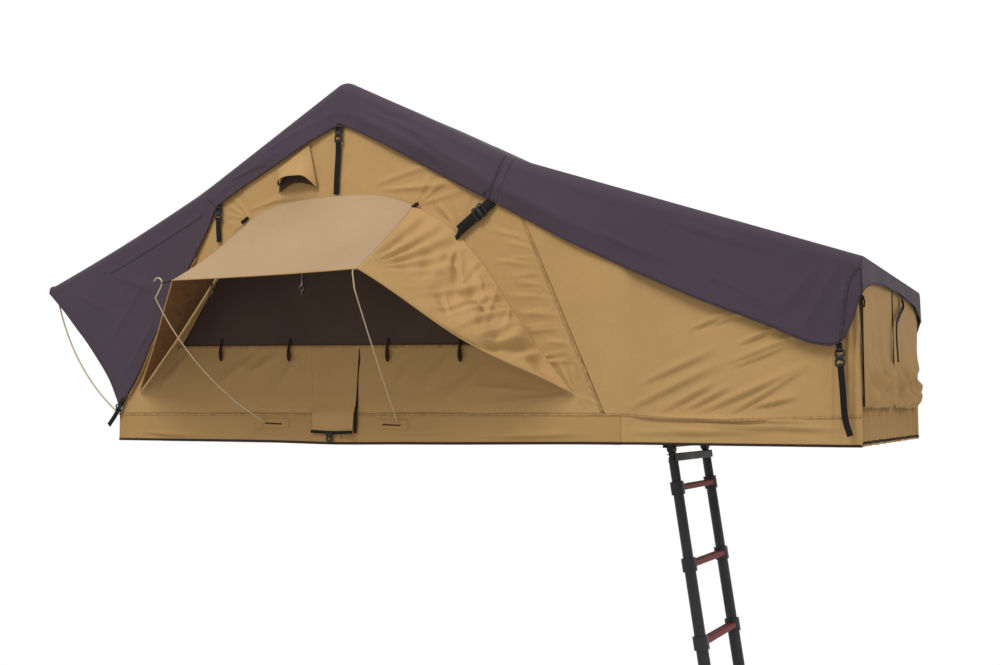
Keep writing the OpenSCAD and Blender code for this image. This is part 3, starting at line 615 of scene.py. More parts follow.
def wall_wrinkles(x, z):
    """How far the near wall stands out: pulls at its seam, the gussets' feet, the toggles and the straps."""
    w = 0.0012 * ripples(x, z, 3, 0.10, 0.45)
    rng = np.random.default_rng(17)
    for level in np.linspace(0.30, 0.75, 16):
        z0 = level + rng.uniform(-0.014, 0.014)
        start, reach, tilt = rng.uniform(0.006, 0.03), rng.uniform(0.09, 0.21), rng.uniform(-0.20, 0.35)
        pull = (seam_x(z0) - start - reach, z0 + reach * tilt)
        wide, high = rng.uniform(0.005, 0.010), rng.uniform(0.004, 0.0085)
        w += crease(x, z, (seam_x(z0) - start, z0), pull, wide, high)
    for pulls in WALL_FANS:
        w += fan(x, z, *pulls)
    for fold in TOP_FOLDS:
        w += crease(x, z, *fold)
    for a, b in LOW_FOLDS:
        w += crease(x, z, a, b, 0.022, 0.0055)
    return np.clip(w, -0.001, 0.0095) + 0.001


def on_wall(points):
    """Points of the near wall's outer face, for what is sewn to it."""
    p = np.array(points, float)
    return stand(p, -WALL_Y - wall_wrinkles(p[:, 0], p[:, 1]) - SEWN)


def far_out(x, z):
    """How far the far wall stands out: pulls from its lower corners, its seam and its closed window."""
    w = 0.003 + 0.0015 * ripples(x, z, 5, 0.12, 0.5)
    for pulls in FAR_FANS:
        w += fan(x, z, *pulls)
    rng = np.random.default_rng(23)
    for level in np.linspace(0.26, 0.90, 12):
        reach = rng.uniform(0.10, 0.24)
        end = (seam_x(level) - reach, level + reach * rng.uniform(-0.3, 0.3))
        wide, high = rng.uniform(0.006, 0.012), rng.uniform(0.003, 0.007)
        w += crease(x, z, (seam_x(level) - 0.02, level), end, wide, high)
    return np.clip(w, 0, 0.010)


def on_far_wall(points, lift=SEWN):
    p = np.array(points, float)
    return stand(p, WALL_Y + far_out(p[:, 0], p[:, 1]) + lift)


v = np.linspace(0, 1, 60)[None, :, None]
flat = around(OUTER, RING_STEPS)[:, None] * (1 - v) + around(WINDOW, RING_STEPS)[:, None] * v
y = -WALL_Y - wall_wrinkles(flat[..., 0], flat[..., 1])
near_wall = cloth("canvas_near_wall", stand(flat, y), wrap=True)
folds(near_wall, "canvas", ("wall_near_fixed", "wall_near_fold"))

low = at([OUTER[0], OUTER[1]], 190)
high = at([OUTER[4], OUTER[3], OUTER[2]], 190)
flat = coons(low, high, at([OUTER[0], OUTER[4]], 100), at([OUTER[1], OUTER[2]], 100))
far_wall = cloth("canvas_far_wall", stand(flat, WALL_Y + far_out(flat[..., 0], flat[..., 1]))[:, ::-1])
folds(far_wall, "canvas", ("wall_far_fixed", "wall_far_fold"))
zip_path = at([WINDOW[0], WINDOW[4], WINDOW[3], WINDOW[2], WINDOW[1]], 200, 0.06)
folds(ribbon("far_window_zip", on_far_wall(zip_path), 0.020, TAPE, (0, 1, 0)), "zip")
folds(tube("far_window_coil", on_far_wall(zip_path, 2 * SEWN), COIL_R), "black")
sill = at([WINDOW[0], WINDOW[1]], 120)
folds(ribbon("far_window_sill", on_far_wall(sill), 0.014, TAPE, (0, 1, 0)), "seam")

# Seams of the side walls
for word, side in SIDES:
    line = at([(SEAM_LOW[0] - 0.006, SEAM_LOW[1] + 0.004), (SEAM_TOP[0] - 0.002, SEAM_TOP[1] - 0.012)], 80)
    path = on_wall(line) if side < 0 else on_far_wall(line)
    folds(ribbon(f"wall_seam_{word}", path, 0.011, SEAM, (0, side, 0)), "seam")
sill = at([(WINDOW[0][0] - 0.02, WINDOW[0][1] - 0.006), (WINDOW[1][0], WINDOW[1][1] - 0.006)], 160)
folds(ribbon("window_sill_hem", on_wall(sill), 0.014, TAPE, NEAR), "seam")


# End wall and roof as one strip over the hoops
def roof_strip(line, columns, sag):
    """Canvas from side to side along a line of the roof, with the sag of its middle at each point."""
    across = np.linspace(-WALL_Y + 0.001, WALL_Y - 0.001, columns)
    p = xyz(line[:, :1], across[None], line[:, 1:])
    p[..., 2] -= sag[:, None] * (1 - (across / WALL_Y) ** 4)[None]
    return p


line = at([(LEFT_X, SKIRT_TOP + 0.001), ROOF[0], ROOF[1], ROOF[2]], 170, 0.05)
p = roof_strip(line, 70, 0.006 * np.sin(np.linspace(0, 3 * math.pi, len(line))) ** 2)
p[..., 2] -= 0.001 * ripples(p[..., 0], p[..., 1], 8, 0.1, 0.4)
x, y, z = p[..., 0], p[..., 1], p[..., 2]
steep = smooth(1.02, 0.92, z) * smooth(-0.10, -0.22, x) * smooth(0, 0.04, WALL_Y - np.abs(y))
w = 0.003 * ripples(y, z, 9, 0.12, 0.5)
for side in (-1, 1):
    w += fan(side * y, z, (0.62, 0.15), (96, 112, 128, 146, 164), (0.5, 0.6, 0.5, 0.4, 0.5), 0.014, 0.007)
    w += fan(side * y, z, (0.60, 1.00), (200, 222, 246, 262), (0.5, 0.45, 0.4, 0.3), 0.014, 0.006)
p[..., 0] -= steep * np.clip(w, -0.004, 0.010)
roof = cloth("canvas_roof", p[:, ::-1])
folds(roof, "canvas", ("roof_fixed", "roof_fold", "end_wall"))

# Net behind the window
GROW = 0.012
net_low = at([(WINDOW[0][0] - GROW, WINDOW[0][1] - GROW), (WINDOW[1][0] + GROW, WINDOW[1][1] - GROW)], 90)
net_high = at([(WINDOW[4][0] - GROW, WINDOW[4][1] + GROW), (WINDOW[3][0], WINDOW[3][1] + GROW),
               (WINDOW[2][0] + GROW, WINDOW[2][1] + GROW)], 90)
flat = coons(net_low, net_high, at([net_low[0], net_high[0]], 40), at([net_low[-1], net_high[-1]], 40))
net = cloth("window_net", stand(flat, -NET_Y), thick=NET)
folds(net, "net", ("window_mesh_fixed", "window_mesh_fold"))

# Window awning with its two gussets
LIP_Y, TOP_Y = -1.145, -0.6995
LIP_L, LIP_R, LIP_Z = 0.107, 0.934, 0.626
SETTLE_FRAMES = 30
AWNING_PULLS = (((0.10, -0.71), (0.42, -0.86), 0.007), ((0.88, -0.71), (0.62, -0.84), 0.006),
                ((0.20, -0.72), (0.36, -1.00), 0.005), ((0.12, -1.12), (0.32, -0.95), 0.004),
                ((0.92, -1.12), (0.70, -0.96), 0.004), ((0.30, -0.71), (0.46, -0.92), 0.005))
u, v = unit_grid(110, 70)
x_top, x_lip = TOP_L[0] + (TOP_R[0] - TOP_L[0]) * u, LIP_L + (LIP_R - LIP_L) * u
z_top = TOP_L[1] + 0.066 * (1 - np.abs(2 * u - 1) ** 3)
x = x_top + (x_lip - x_top) * v
y = TOP_Y + (LIP_Y - TOP_Y) * v
droop = 0.016 - 0.010 * u + 0.013 * np.sin(math.pi * u)
z = z_top + (LIP_Z - 0.003 * np.sin(math.pi * u) - z_top) * v - droop * np.sin(math.pi * v)
puckers = 0.0012 * ripples(x, y, 12, 0.1, 0.5)
for a, b, h in AWNING_PULLS:
    puckers += crease(x, y, a, b, 0.014, h)
awning_p = xyz(x, y, z + puckers)
awning = cloth("window_awning", awning_p)
# The awning's paler canvas is painted sheen from the light above
folds(awning, "canvas_pale", ("awning_fixed", "awning_fold"))


def settle(grid, cut, held):
    """Lets a grid buckle by Blender's cloth: its threads take the lengths of the cut, held points stay."""
    nu, nv = grid.shape[:2]
    ids = np.arange(nu * nv).reshape(nu, nv)
    faces = np.stack([ids[:-1, :-1], ids[1:, :-1], ids[1:, 1:], ids[:-1, 1:]], 2).reshape(-1, 4)
    me = bpy.data.meshes.new("settle")
    me.from_pydata(grid.reshape(-1, 3).tolist(), [], faces.tolist())
    ob = bpy.data.objects.new("settle", me)
    scene.collection.objects.link(ob)
    ob.shape_key_add(name="Basis")
    key = ob.shape_key_add(name="cut")
    key.data.foreach_set("co", cut.reshape(-1).astype(np.float32))
    ob.vertex_groups.new(name="held").add(np.flatnonzero(held.reshape(-1)).tolist(), 1.0, "REPLACE")
    mod = ob.modifiers.new("cloth", "CLOTH")
    mod.settings.vertex_group_mass = "held"
    mod.settings.rest_shape_key = key
    mod.settings.quality = 7
    mod.settings.mass = 0.04
    mod.settings.tension_stiffness = mod.settings.compression_stiffness = 40
    mod.settings.shear_stiffness = 12
    mod.settings.bending_stiffness = 0.08
    mod.settings.air_damping = 3
    mod.settings.effector_weights.gravity = 0.5
    mod.collision_settings.use_collision = False
    for f in range(1, SETTLE_FRAMES + 1):
        scene.frame_set(f)
    co = np.zeros(nu * nv * 3)
    ob.evaluated_get(bpy.context.evaluated_depsgraph_get()).data.vertices.foreach_get("co", co)
    bpy.data.objects.remove(ob)
    scene.frame_set(1)
    return co.reshape(nu, nv, 3)


def bag(x, z):
    """Slack that hangs over itself in the lower part of the right gusset."""
    fall = smooth(0.56, 0.39, z) * smooth(0.352, 0.368, z)
    return 0.045 * fall * smooth(1.08, 1.20, x) * smooth(1.43, 1.33, x)


def gusset(name, side, wall_line, seed, folds_at, spare, sag, packed=()):
    """Cloth between the awning's side edge, a line down the wall and a free edge.
    spare holds the extra angle and length of its cut, and the height of its lumps."""
    nu, nv = 110, len(side)
    low = stand(at(wall_line, nu, 0.06), TOP_Y)
    low[0] = side[0]
    foot = low[-1]
    high = at([side[-1], foot], nu)
    high[:, 2] -= sag * np.sin(math.pi * np.linspace(0, 1, nu)) ** 2
    high[-1] = foot
    grid = coons(low, high, side, np.repeat(foot[None], nv, 0))
    # Flat coordinates on the cloth, measured from the lip's corner
    corner = side[-1]
    e1 = (foot - corner) / np.linalg.norm(foot - corner)
    e2 = side[0] - corner
    e2 = e2 - e1 * (e2 @ e1)
    e2 = e2 / np.linalg.norm(e2)
    n = np.cross(e1, e2)
    n = n if n[1] < 0 else -n
    a, b = (grid - corner) @ e1, (grid - corner) @ e2
    far = np.hypot(a, b)
    turn = np.arctan2(b, np.maximum(a, 1e-4))
    u, v = unit_grid(nu, nv)
    room = np.sin(math.pi * v) ** 0.5 * smooth(0, 0.06, far) * smooth(1.0, 0.86, u) * smooth(0, 0.05, u)
    zone = smooth(0.20, 0.34, far) * smooth(0.86, 0.70, far) * smooth(58, 42, np.degrees(turn))
    out = 0.004 * ripples(a, b, seed, 0.05, 0.16, 16) + 0.006
    for place, wide, deep in folds_at:
        out = out - deep * np.exp(-((np.degrees(turn) - place) / wide) ** 2) * smooth(0.02, 0.20, far)
    grid = grid + n * (out * room)[..., None]
    wide, long = turn * (1 + spare[0]), far * (1 + spare[1] * smooth(0.1, 0.4, far))
    cut = corner + e1 * (long * np.cos(wide))[..., None] + e2 * (long * np.sin(wide))[..., None]
    held = np.zeros((nu, nv), bool)
    held[0] = held[:, 0] = held[:, -1] = held[-4:] = True
    grid[:-1] = settle(grid[:-1], cut[:-1], held[:-1])
    out = spare[2] * facets(a, b, seed) * zone + bag(grid[..., 0], grid[..., 2])
    for fold in packed:
        out = out + crease(a, b, *fold)
    grid = grid + n * (out * room)[..., None]
    grid[..., 1] = np.minimum(grid[..., 1], TOP_Y - 0.0002)
    return cloth(name, grid), grid


# Packing creases of the right gusset as start, end, width and height in its flat coordinates
PACKED = [((0.230, 0.055), (0.500, 0.335), 0.012, 0.012), ((0.270, -0.004), (0.540, 0.297), 0.011, 0.014),
          ((0.315, -0.022), (0.565, 0.276), 0.009, 0.011), ((0.355, -0.066), (0.605, 0.283), 0.012, 0.013),
          ((0.420, -0.078), (0.635, 0.210), 0.010, 0.010), ((0.590, -0.040), (0.730, 0.120), 0.011, 0.011),
          ((0.265, 0.365), (0.275, 0.225), 0.012, 0.012), ((0.280, 0.366), (0.360, 0.195), 0.012, 0.013),
          ((0.340, 0.205), (0.392, 0.470), 0.011, 0.013), ((0.360, 0.310), (0.448, 0.175), 0.010, 0.011),
          ((0.464, 0.290), (0.482, 0.035), 0.010, 0.010), ((0.300, 0.138), (0.388, 0.018), 0.010, 0.010),
          ((0.545, 0.215), (0.553, 0.056), 0.010, 0.010)]
left_line = [TOP_L, (-0.118, 0.622), (-0.262, 0.446), FOOT_L]
right_line = [TOP_R, (1.044, 0.835), (1.177, 0.698), (1.369, 0.418), FOOT_R]
gusset_left, left_grid = gusset("awning_gusset_left", awning_p[0], left_line, 21,
                                [(30, 8, 0.010), (12, 5, 0.008)], (0.02, 0.01, 0.006), 0.012)
folds(gusset_left, "canvas", ("awning_gusset_fixed",))
# Its inner faces get the darker canvas: partly the coated inner side, partly painted shade
gusset_left.data.materials.append(MAT["canvas_in_painted_shade"])
for face in gusset_left.data.polygons:
    face.material_index = 1 if face.normal.x > 0 else 0
gusset_right, right_grid = gusset("awning_gusset_right", awning_p[-1], right_line, 34,
                                  [(74, 3.5, 0.020), (65, 3.0, 0.024), (56, 3.5, 0.022), (46, 4.0, 0.016)],
                                  (0.09, 0.03, 0.018), 0.034, PACKED)
folds(gusset_right, "canvas", ("awning_gusset_fold",))

# Hems along the awning's free edges
for name, path in (("hem_lip", awning_p[:, -1]), ("hem_left", left_grid[:-3, -1]),
                   ("hem_right", right_grid[:-3, -1])):
    folds(tube(name, path, HEM_R), "canvas")


# Spring rods of the awning, with the hooked tips that carry its corners
def arc(p, q, rise, n):
    """Points of an arc from p to q that bulges to the right of that direction."""
    p, q = np.array(p), np.array(q)
    c = np.linalg.norm(q - p)
    big = (c * c / 4 + rise * rise) / (2 * rise)
    left = np.array([-(q - p)[1], (q - p)[0]]) / c
    centre = (p + q) / 2 + left * (big - rise)
    start = math.atan2(p[1] - centre[1], p[0] - centre[0])
    turn = start + np.linspace(0, 2 * math.asin(c / 2 / big), n)
    return centre + big * np.stack([np.cos(turn), np.sin(turn)], 1)


def spring_rod(name, foot, kink, rise, tip, node):
    length = math.hypot(kink[0] - foot[0], kink[1] - foot[1])
    way = np.array([kink[0] - foot[0], kink[1] - foot[1]]) / length
    flat = arc((0, foot[2]), (length, kink[2]), rise, 44)
    back = (flat[1] - flat[0]) / np.linalg.norm(flat[1] - flat[0])
    flat = np.concatenate([[flat[0] - back * 0.020], flat])
    path = xyz(foot[0] + flat[:, 0] * way[0], foot[1] + flat[:, 0] * way[1], flat[:, 1])
    hook = at([path[-1]] + [(a, LIP_Y + 0.002, b) for a, b in tip], 26, 0.012)
    folds(tube(name, np.concatenate([path[:-1], hook]), 0.0028, 10), "rod", (node,))


spring_rod("rod_left", (0.202, -0.690, 0.088), (0.020, -1.140, 0.563), 0.050,
           [(0.050, 0.604), (0.056, 0.622), (0.044, 0.637), (0.026, 0.640), (0.014, 0.626)],
           "awning_rod_fixed")
spring_rod("rod_right", (0.823, -0.690, 0.084), (0.918, -1.138, 0.556), 0.006,
           [(0.914, 0.602), (0.912, 0.618), (0.918, 0.628), (0.928, 0.624)], "awning_rod_fold")
cord = [(0.053, LIP_Y, 0.618), (0.080, LIP_Y - 0.002, 0.619), (LIP_L + 0.004, LIP_Y + 0.002, LIP_Z)]
folds(tube("corner_cord", at(cord, 12, 0.01), 0.0022), "strap", slot_name="canvas")


# Webbing, buckles, toggles and loops
FRAME_R, PRONG_R = 0.0032, 0.0024
BUCKLE_Y, HOOK_Y = -0.7085, -0.7010


def buckle(name, place, width, tall, normal_y=-1, turn_by=0.0):
    """A side-release buckle: two rounded frames, a centre bar and its prongs, on a plane of constant Y."""
    x0, y0, z0 = place
    parts = []
    for k, up in enumerate((tall * 0.30, -tall * 0.30)):
        loop = []
        for turn in np.linspace(0, 2 * math.pi, 25):
            c, s = math.cos(turn), math.sin(turn)
            k4 = (abs(c) ** 6 + abs(s) ** 6) ** (-1 / 6)
            loop.append((x0 + width * 0.5 * c * k4, y0 + 0.0005, z0 + up + tall * 0.22 * s * k4))
        parts.append(tube(f"{name}_{k}", loop, FRAME_R))
    bar = [(x0 - width * 0.45, y0, z0), (x0, y0 + normal_y * 0.002, z0), (x0 + width * 0.45, y0, z0)]
    parts.append(ribbon(f"{name}_bar", at(bar, 9), tall * 0.34, 0.006, NEAR))
    for k, dx in enumerate((-0.3, 0.3)):
        prong = [(x0 + dx * width, y0 + normal_y * 0.003, z0 + up * tall) for up in (0.22, -0.22)]
        parts.append(tube(f"{name}_prong{k}", at(prong, 4), PRONG_R))
    ob = join(name, parts)
    c, s = math.cos(turn_by), math.sin(turn_by)
    for vert in ob.data.vertices:
        dx, dz = vert.co.x - x0, vert.co.z - z0
        vert.co.x, vert.co.z = x0 + dx * c + dz * s, z0 - dx * s + dz * c
    return ob


def strap(name, width, *points):
    """Flat webbing along points with depth; it faces the near side."""
    folds(ribbon(name, at(points, 40, 0.02), width, WEBBING, (0, -1, 0.02)), "strap")


strap("strap_top", 0.025, (0.549, -0.7018, 1.292), (0.550, -0.7055, 1.262), (0.550, -0.7075, 1.240))
folds(buckle("buckle_top", (0.550, BUCKLE_Y, 1.226), 0.030, 0.060), "black")
strap("strap_top_tail", 0.025, (0.550, -0.7080, 1.205), (0.547, -0.7040, 1.15), (0.541, -0.7036, 1.06),
      (0.539, -0.7040, 0.988))
strap("strap_left", 0.024, (-0.048, -0.7022, 1.005), (-0.046, -0.7058, 0.982), (-0.046, -0.7075, 0.966))
folds(buckle("buckle_left", (-0.046, BUCKLE_Y, 0.953), 0.028, 0.052), "black")
strap("strap_left_tail", 0.024, (-0.046, -0.7080, 0.938), (-0.050, -0.7045, 0.905), (-0.044, -0.7040, 0.836))
strap("strap_right", 0.042, (1.230, -0.7022, 0.906), (1.205, -0.7070, 0.886), (1.160, -0.7090, 0.853),
      (1.094, -0.7085, 0.806))
folds(buckle("buckle_right", (1.180, -0.7120, 0.868), 0.050, 0.044, -1, 0.94), "black")
tail = at([(1.104, -0.7105, 0.812), (1.093, -0.7120, 0.782), (1.070, -0.7130, 0.776),
           (1.046, -0.7110, 0.781)], 24, 0.01)
folds(ribbon("strap_right_tail", tail, 0.020, WEBBING, (0.1, -1, 0.2)), "strap")

BARREL = ((-0.016, -0.009), (-0.008, -0.004), (0.008, 0.004), (0.016, 0.009))
for word, x0, z0 in (("left", 0.093, 0.917), ("right", 0.900, 0.913)):
    barrel = at([(x0 + dx, BUCKLE_Y, z0 + dz) for dx, dz in BARREL], 12)
    loop = at([(x0 - 0.002, -0.702, z0 + 0.012), (x0, BUCKLE_Y - 0.006, z0 + 0.004),
               (x0 + 0.002, -0.702, z0 - 0.010)], 12, 0.01)
    toggle = join(f"toggle_{word}", [tube("barrel", barrel, 0.0070, 12), tube("loop", loop, 0.0014)])
    folds(toggle, "loop")


def sill_z(x):
    return WINDOW[0][1] + (x - WINDOW[0][0]) * (WINDOW[1][1] - WINDOW[0][1]) / (WINDOW[1][0] - WINDOW[0][0])


# Rings of a sill loop as height over the sill, depth, half width and half thickness
LOOP_RINGS = ((0.028, -0.6925, 0.004, 0.0012), (0.010, -0.6965, 0.005, 0.0016),
              (-0.004, -0.7030, 0.0055, 0.002), (-0.018, -0.7050, 0.0075, 0.003),
              (-0.034, -0.7055, 0.0095, 0.004), (-0.050, -0.7050, 0.0090, 0.004),
              (-0.060, -0.7040, 0.0060, 0.003), (-0.064, -0.7035, 0.0025, 0.0015))
turn = circle(16)
for k, x0 in enumerate((-0.028, 0.317, 0.779, 1.094)):
    rings = [xyz(x0 + half * np.cos(turn) - 0.05 * up, y0 + deep * np.sin(turn), sill_z(x0) + up)
             for up, y0, half, deep in LOOP_RINGS]
    folds(loft(f"window_loop_{k}", rings), "loop")
turn = np.linspace(0, 2 * math.pi, 22)
for k, (x0, z0, head) in enumerate(((-0.086, 0.640, 0.672), (0.374, 0.632, 0.880))):
    hang = at([(x0 + 0.004, -0.6975, head), (x0 + 0.002, -0.7000, (head + z0) / 2),
               (x0, HOOK_Y, z0 + 0.004)], 24)
    ring = xyz(x0 + 0.009 * np.cos(turn), HOOK_Y, z0 - 0.008 + 0.012 * np.sin(turn))
    foot = at([(x0, HOOK_Y, z0 - 0.020), (x0 + 0.002, -0.7015, z0 - 0.034)], 6)
    hook = join(f"window_hook_{k}", [ribbon("hang", hang, 0.007, 0.0012, NEAR), tube("ring", ring, 0.0018),
                                     tube("foot", foot, 0.0022)])
    folds(hook, "zinc")

# Flap over the hinge, sewn on its left and loose on its right, with a shadow strip beside it
u, v = unit_grid(50, 60)
x = (0.437 + 0.195 * u) * (1 - v) + (0.418 + 0.228 * u) * v
z = 0.050 + 0.339 * v
loose = u ** 5 * (0.001 + 0.015 * (1 - v) ** 1.5)
lie = wall_wrinkles(x, z) + 0.0006 + 0.0095 * smooth(0.17, 0.12, z)
flap = cloth("hinge_flap", xyz(x, -WALL_Y - lie - loose, z))
folds(flap, "canvas")
x, z = x[-1], z[0]
gap = 0.003 + 0.005 * np.exp(-((z - 0.33) / 0.03) ** 2) + 0.008 * smooth(0.24, 0.08, z)
x = x - 0.003 + (gap + 0.003) * np.linspace(0, 1, 6)[:, None]
y = -WALL_Y - wall_wrinkles(x, z) - 0.0008 - 0.0092 * smooth(0.17, 0.12, z)
# A dark strip of painted shadow where the flap's loose edge stands off the wall
gap_strip = cloth("hinge_gap", xyz(x, y, z), thick=0.001)
folds(gap_strip, "edge", slot_name="canvas")
low_strap = at([(0.430, -0.7050, 0.056), (0.530, -0.7060, 0.051), (0.636, -0.7230, 0.054)], 24, 0.03)
folds(ribbon("hinge_strap", low_strap, 0.012, WEBBING, NEAR), "strap")
folds(buckle("hinge_buckle", (0.522, -0.7105, 0.036), 0.026, 0.030), "black")

# Vent under the fly: a small hood over a net
VENT_LIP = [(0.262, 1.046), (0.288, 1.072), (0.330, 1.081), (0.404, 1.079), (0.430, 1.056), (0.450, 1.024)]
VENT_HEAD = [(0.250, 1.112), (0.400, 1.196), (0.408, 1.190)]
VENT_LOW = [(0.258, 1.017), (0.317, 1.052), (0.381, 1.050), (0.450, 1.024)]
u, v = unit_grid(60, 30)
lip, head, low = at(VENT_LIP, 60, 0.02), at(VENT_HEAD, 60), at(VENT_LOW, 60, 0.03)
rise = np.sin(math.pi * u ** 0.75) ** 0.6
flat = head[:, None] * (1 - v[..., None]) + lip[:, None] * v[..., None]
hood = cloth("vent_hood", xyz(flat[..., 0], -0.7012 - (0.002 + 0.052 * rise * v ** 1.3),
                              flat[..., 1] - 0.010 * rise * v ** 3))
folds(hood, "canvas")
# The net under the hood's lip is the vent's net, and its dark colour also stands for painted shadow inside
# the hood
flat = low[:, None] * (1 - v[..., None]) + (lip + (0, 0.012))[:, None] * v[..., None]
vent_net = cloth("vent_net", stand(flat, -0.7016), thick=NET)
folds(vent_net, "net")

# Fly: shoulder over the hoops and a drop on each side
SHOULDER, RIDGE_UP = 0.040, 0.075
FLY_JOIN = (-0.064, 0.983)
FLY_LOW = [FLY_JOIN, (0.106, 1.072), (0.392, 1.203), (0.555, 1.270), (0.754, 1.172), (1.105, 0.973),
           (1.251, 0.896)]


def fly_strip(top, lows, drop_rows, seed, creases, wave=0.004, ridge=0.0):
    """Grid over near drop, shoulder, roof, shoulder and far drop, one column for each top point.
    The ridge is a fold that stands out at RIDGE_UP above the lower edge."""
    steps = np.arange(len(top))
    d = lows - top
    size = np.linalg.norm(d, axis=1, keepdims=True)
    d = d / np.maximum(size, 1e-6)
    r = np.minimum(SHOULDER, size * 0.8)
    place = np.clip(RIDGE_UP / np.maximum(size[:, 0], 0.1), 0.1, 0.8)
    rows = []
    calm = smooth(0, 14, steps) * smooth(0, 14, steps[::-1])
    for k in range(drop_rows):
        t = k / drop_rows
        line = lows + (top + d * r - lows) * t
        x, z = line[:, 0], line[:, 1]
        flare = wave * (1 - t) ** 2 * np.sin(steps * 0.11 + seed) * calm
        tent = np.where(t < place, t / place, (1 - t) / (1 - place))
        soft = 0.0016 * ripples(x, z, seed + 60, 0.06, 0.3)
        for fold in creases:
            soft += crease(x, z, *fold)
        soft = soft * calm * min(1, 6 * (1 - t))
        out = 0.5 * wave * (1 - t) + flare + ridge * tent ** 1.2 + np.maximum(soft, -0.0005)
        rows.append(stand(line, -FLY_Y - np.maximum(out, 0)))
    for turn in np.linspace(0, math.pi / 2, 7):
        rows.append(stand(top + d * r * (1 - math.sin(turn)), -FLY_Y + r[:, 0] * (1 - math.cos(turn))))
    near = np.stack(rows, 1)
    edge = near[:, -1:, 1]
    span = np.linspace(0, 1, 72)[None, 1:-1]
    mid = xyz(top[:, :1], edge + (-2 * edge) * span, top[:, 1:])
    slack = np.sin(math.pi * span) ** 0.6
    soft = 0.0025 * ripples(mid[..., 0], mid[..., 1], seed, 0.12, 0.6)
    for side in (-1, 1):
        for x0, way in ((top[3, 0], 1), (top[-4, 0], -1)):
            soft += fan(way * (mid[..., 0] - x0), side * mid[..., 1], (0, 0.66), (-12, -30, -48, -68),
                        (0.45, 0.5, 0.45, 0.5), 0.014, 0.005, 0.02)
    mid[..., 2] += soft * slack * calm[:, None]
    far = near[:, ::-1] * (1, -1, 1)
    return np.concatenate([near, mid, far], 1)


def row_path(grid, rows):
    """A line on the near drop at a given row of each column, just outside the cloth."""
    columns = np.arange(len(grid))
    a = np.floor(rows).astype(int)
    f = (rows - a)[:, None]
    return grid[columns, a] * (1 - f) + grid[columns, a + 1] * f + (0, -FLY_SEWN, 0)


def fly_piece(name, grid, attach, nodes):
    ob = cloth(name, grid[::-1])
    attach(ob, "fly", nodes)
    for word, row in (("near", 0), ("far", -1)):
        attach(tube(f"{name}_hem_{word}", grid[:, row], HEM_R), "fly_seam")
    return ob


# Folds of the fly as start, end, width and height
MAIN_CREASES = [((0.10, 1.16), (0.45, 1.30), 0.010, 0.004), ((0.66, 1.32), (1.02, 1.14), 0.012, 0.005),
                ((0.90, 1.18), (1.24, 0.98), 0.010, 0.004), ((-0.02, 1.08), (0.20, 1.15), 0.009, 0.004)]
WING_CREASES = [((-0.86, 0.66), (-0.50, 0.50), 0.016, 0.005), ((-0.62, 0.72), (-0.30, 0.62), 0.014, 0.005),
                ((-0.66, 0.40), (-0.42, 0.72), 0.014, 0.004), ((-0.56, 0.26), (-0.36, 0.56), 0.012, 0.005)]
ENTRY_CREASES = [((1.42, 0.98), (1.80, 0.84), 0.012, 0.005), ((1.86, 0.80), (2.26, 0.66), 0.012, 0.005),
                 ((2.46, 0.60), (2.36, 0.40), 0.016, 0.008), ((2.50, 0.58), (2.45, 0.38), 0.012, 0.007),
                 ((2.40, 0.60), (2.28, 0.46), 0.016, 0.006), ((1.56, 0.80), (1.96, 0.62), 0.014, 0.004),
                 ((2.02, 0.60), (2.30, 0.46), 0.012, 0.004)]
MAIN_ROWS, ENTRY_ROWS, WING_ROWS = 18, 30, 40
top = at(FLY_TOP[1:4], 190, 0.034)
ridge = 0.003 + 0.008 * smooth(0.56, 0.72, top[:, 0])
main_p = fly_strip(top, at(FLY_LOW, 190, 0.04), MAIN_ROWS, 1, MAIN_CREASES, ridge=ridge)
fly_piece("fly_main", main_p, folds, ("fly_roof_fixed", "fly_roof_fold", "fly_sides_fixed", "fly_sides_fold"))

WING_OUT = [(-1.010, 0.666), (-0.881, 0.548), (-0.762, 0.431), (-0.635, 0.275), (-0.575, 0.158)]
WING_IN = [WING_OUT[-1], (-0.532, 0.200), (-0.462, 0.300), (-0.400, 0.430), (-0.174, 0.778), (-0.112, 0.880),
           FLY_JOIN]
OUT_STEPS, IN_STEPS = 80, 100
top = at(FLY_TOP[0:2], OUT_STEPS + IN_STEPS)
top[:, 1] -= 0.010 * np.sin(math.pi * np.linspace(0, 1, len(top)))
lows = np.concatenate([at(WING_OUT, OUT_STEPS, 0.05), at(WING_IN, IN_STEPS + 1, 0.05)[1:]])
left_p = fly_strip(top, lows, WING_ROWS, 4, WING_CREASES, wave=0.003)
band_size, top_left = np.linalg.norm(lows - top, axis=1), top[:, 0]
fly_piece("fly_left", left_p, on_fly_rods, ("fly_awning", "fly_wings"))

ENTRY_LOW = [(1.251, 0.896), (1.525, 0.743), (1.800, 0.608), (2.025, 0.505), (2.239, 0.418), (2.366, 0.358),
             (2.440, 0.342), (2.482, 0.356), (2.512, 0.423), (2.540, 0.508)]
top = at(FLY_TOP[3:5], 200)
ridge = 0.011 * smooth(1.95, 1.45, top[:, 0])
entry_lows = at(ENTRY_LOW, 200, 0.035)
entry_p = fly_strip(top, entry_lows, ENTRY_ROWS, 9, ENTRY_CREASES, ridge=ridge)
fly_entry = fly_piece("fly_entrance", entry_p, on_entrance, ("fly_entry",))


# Seams of the fly
def other_side(path, side):
    return path if side < 0 else path * (1, -1, 1)


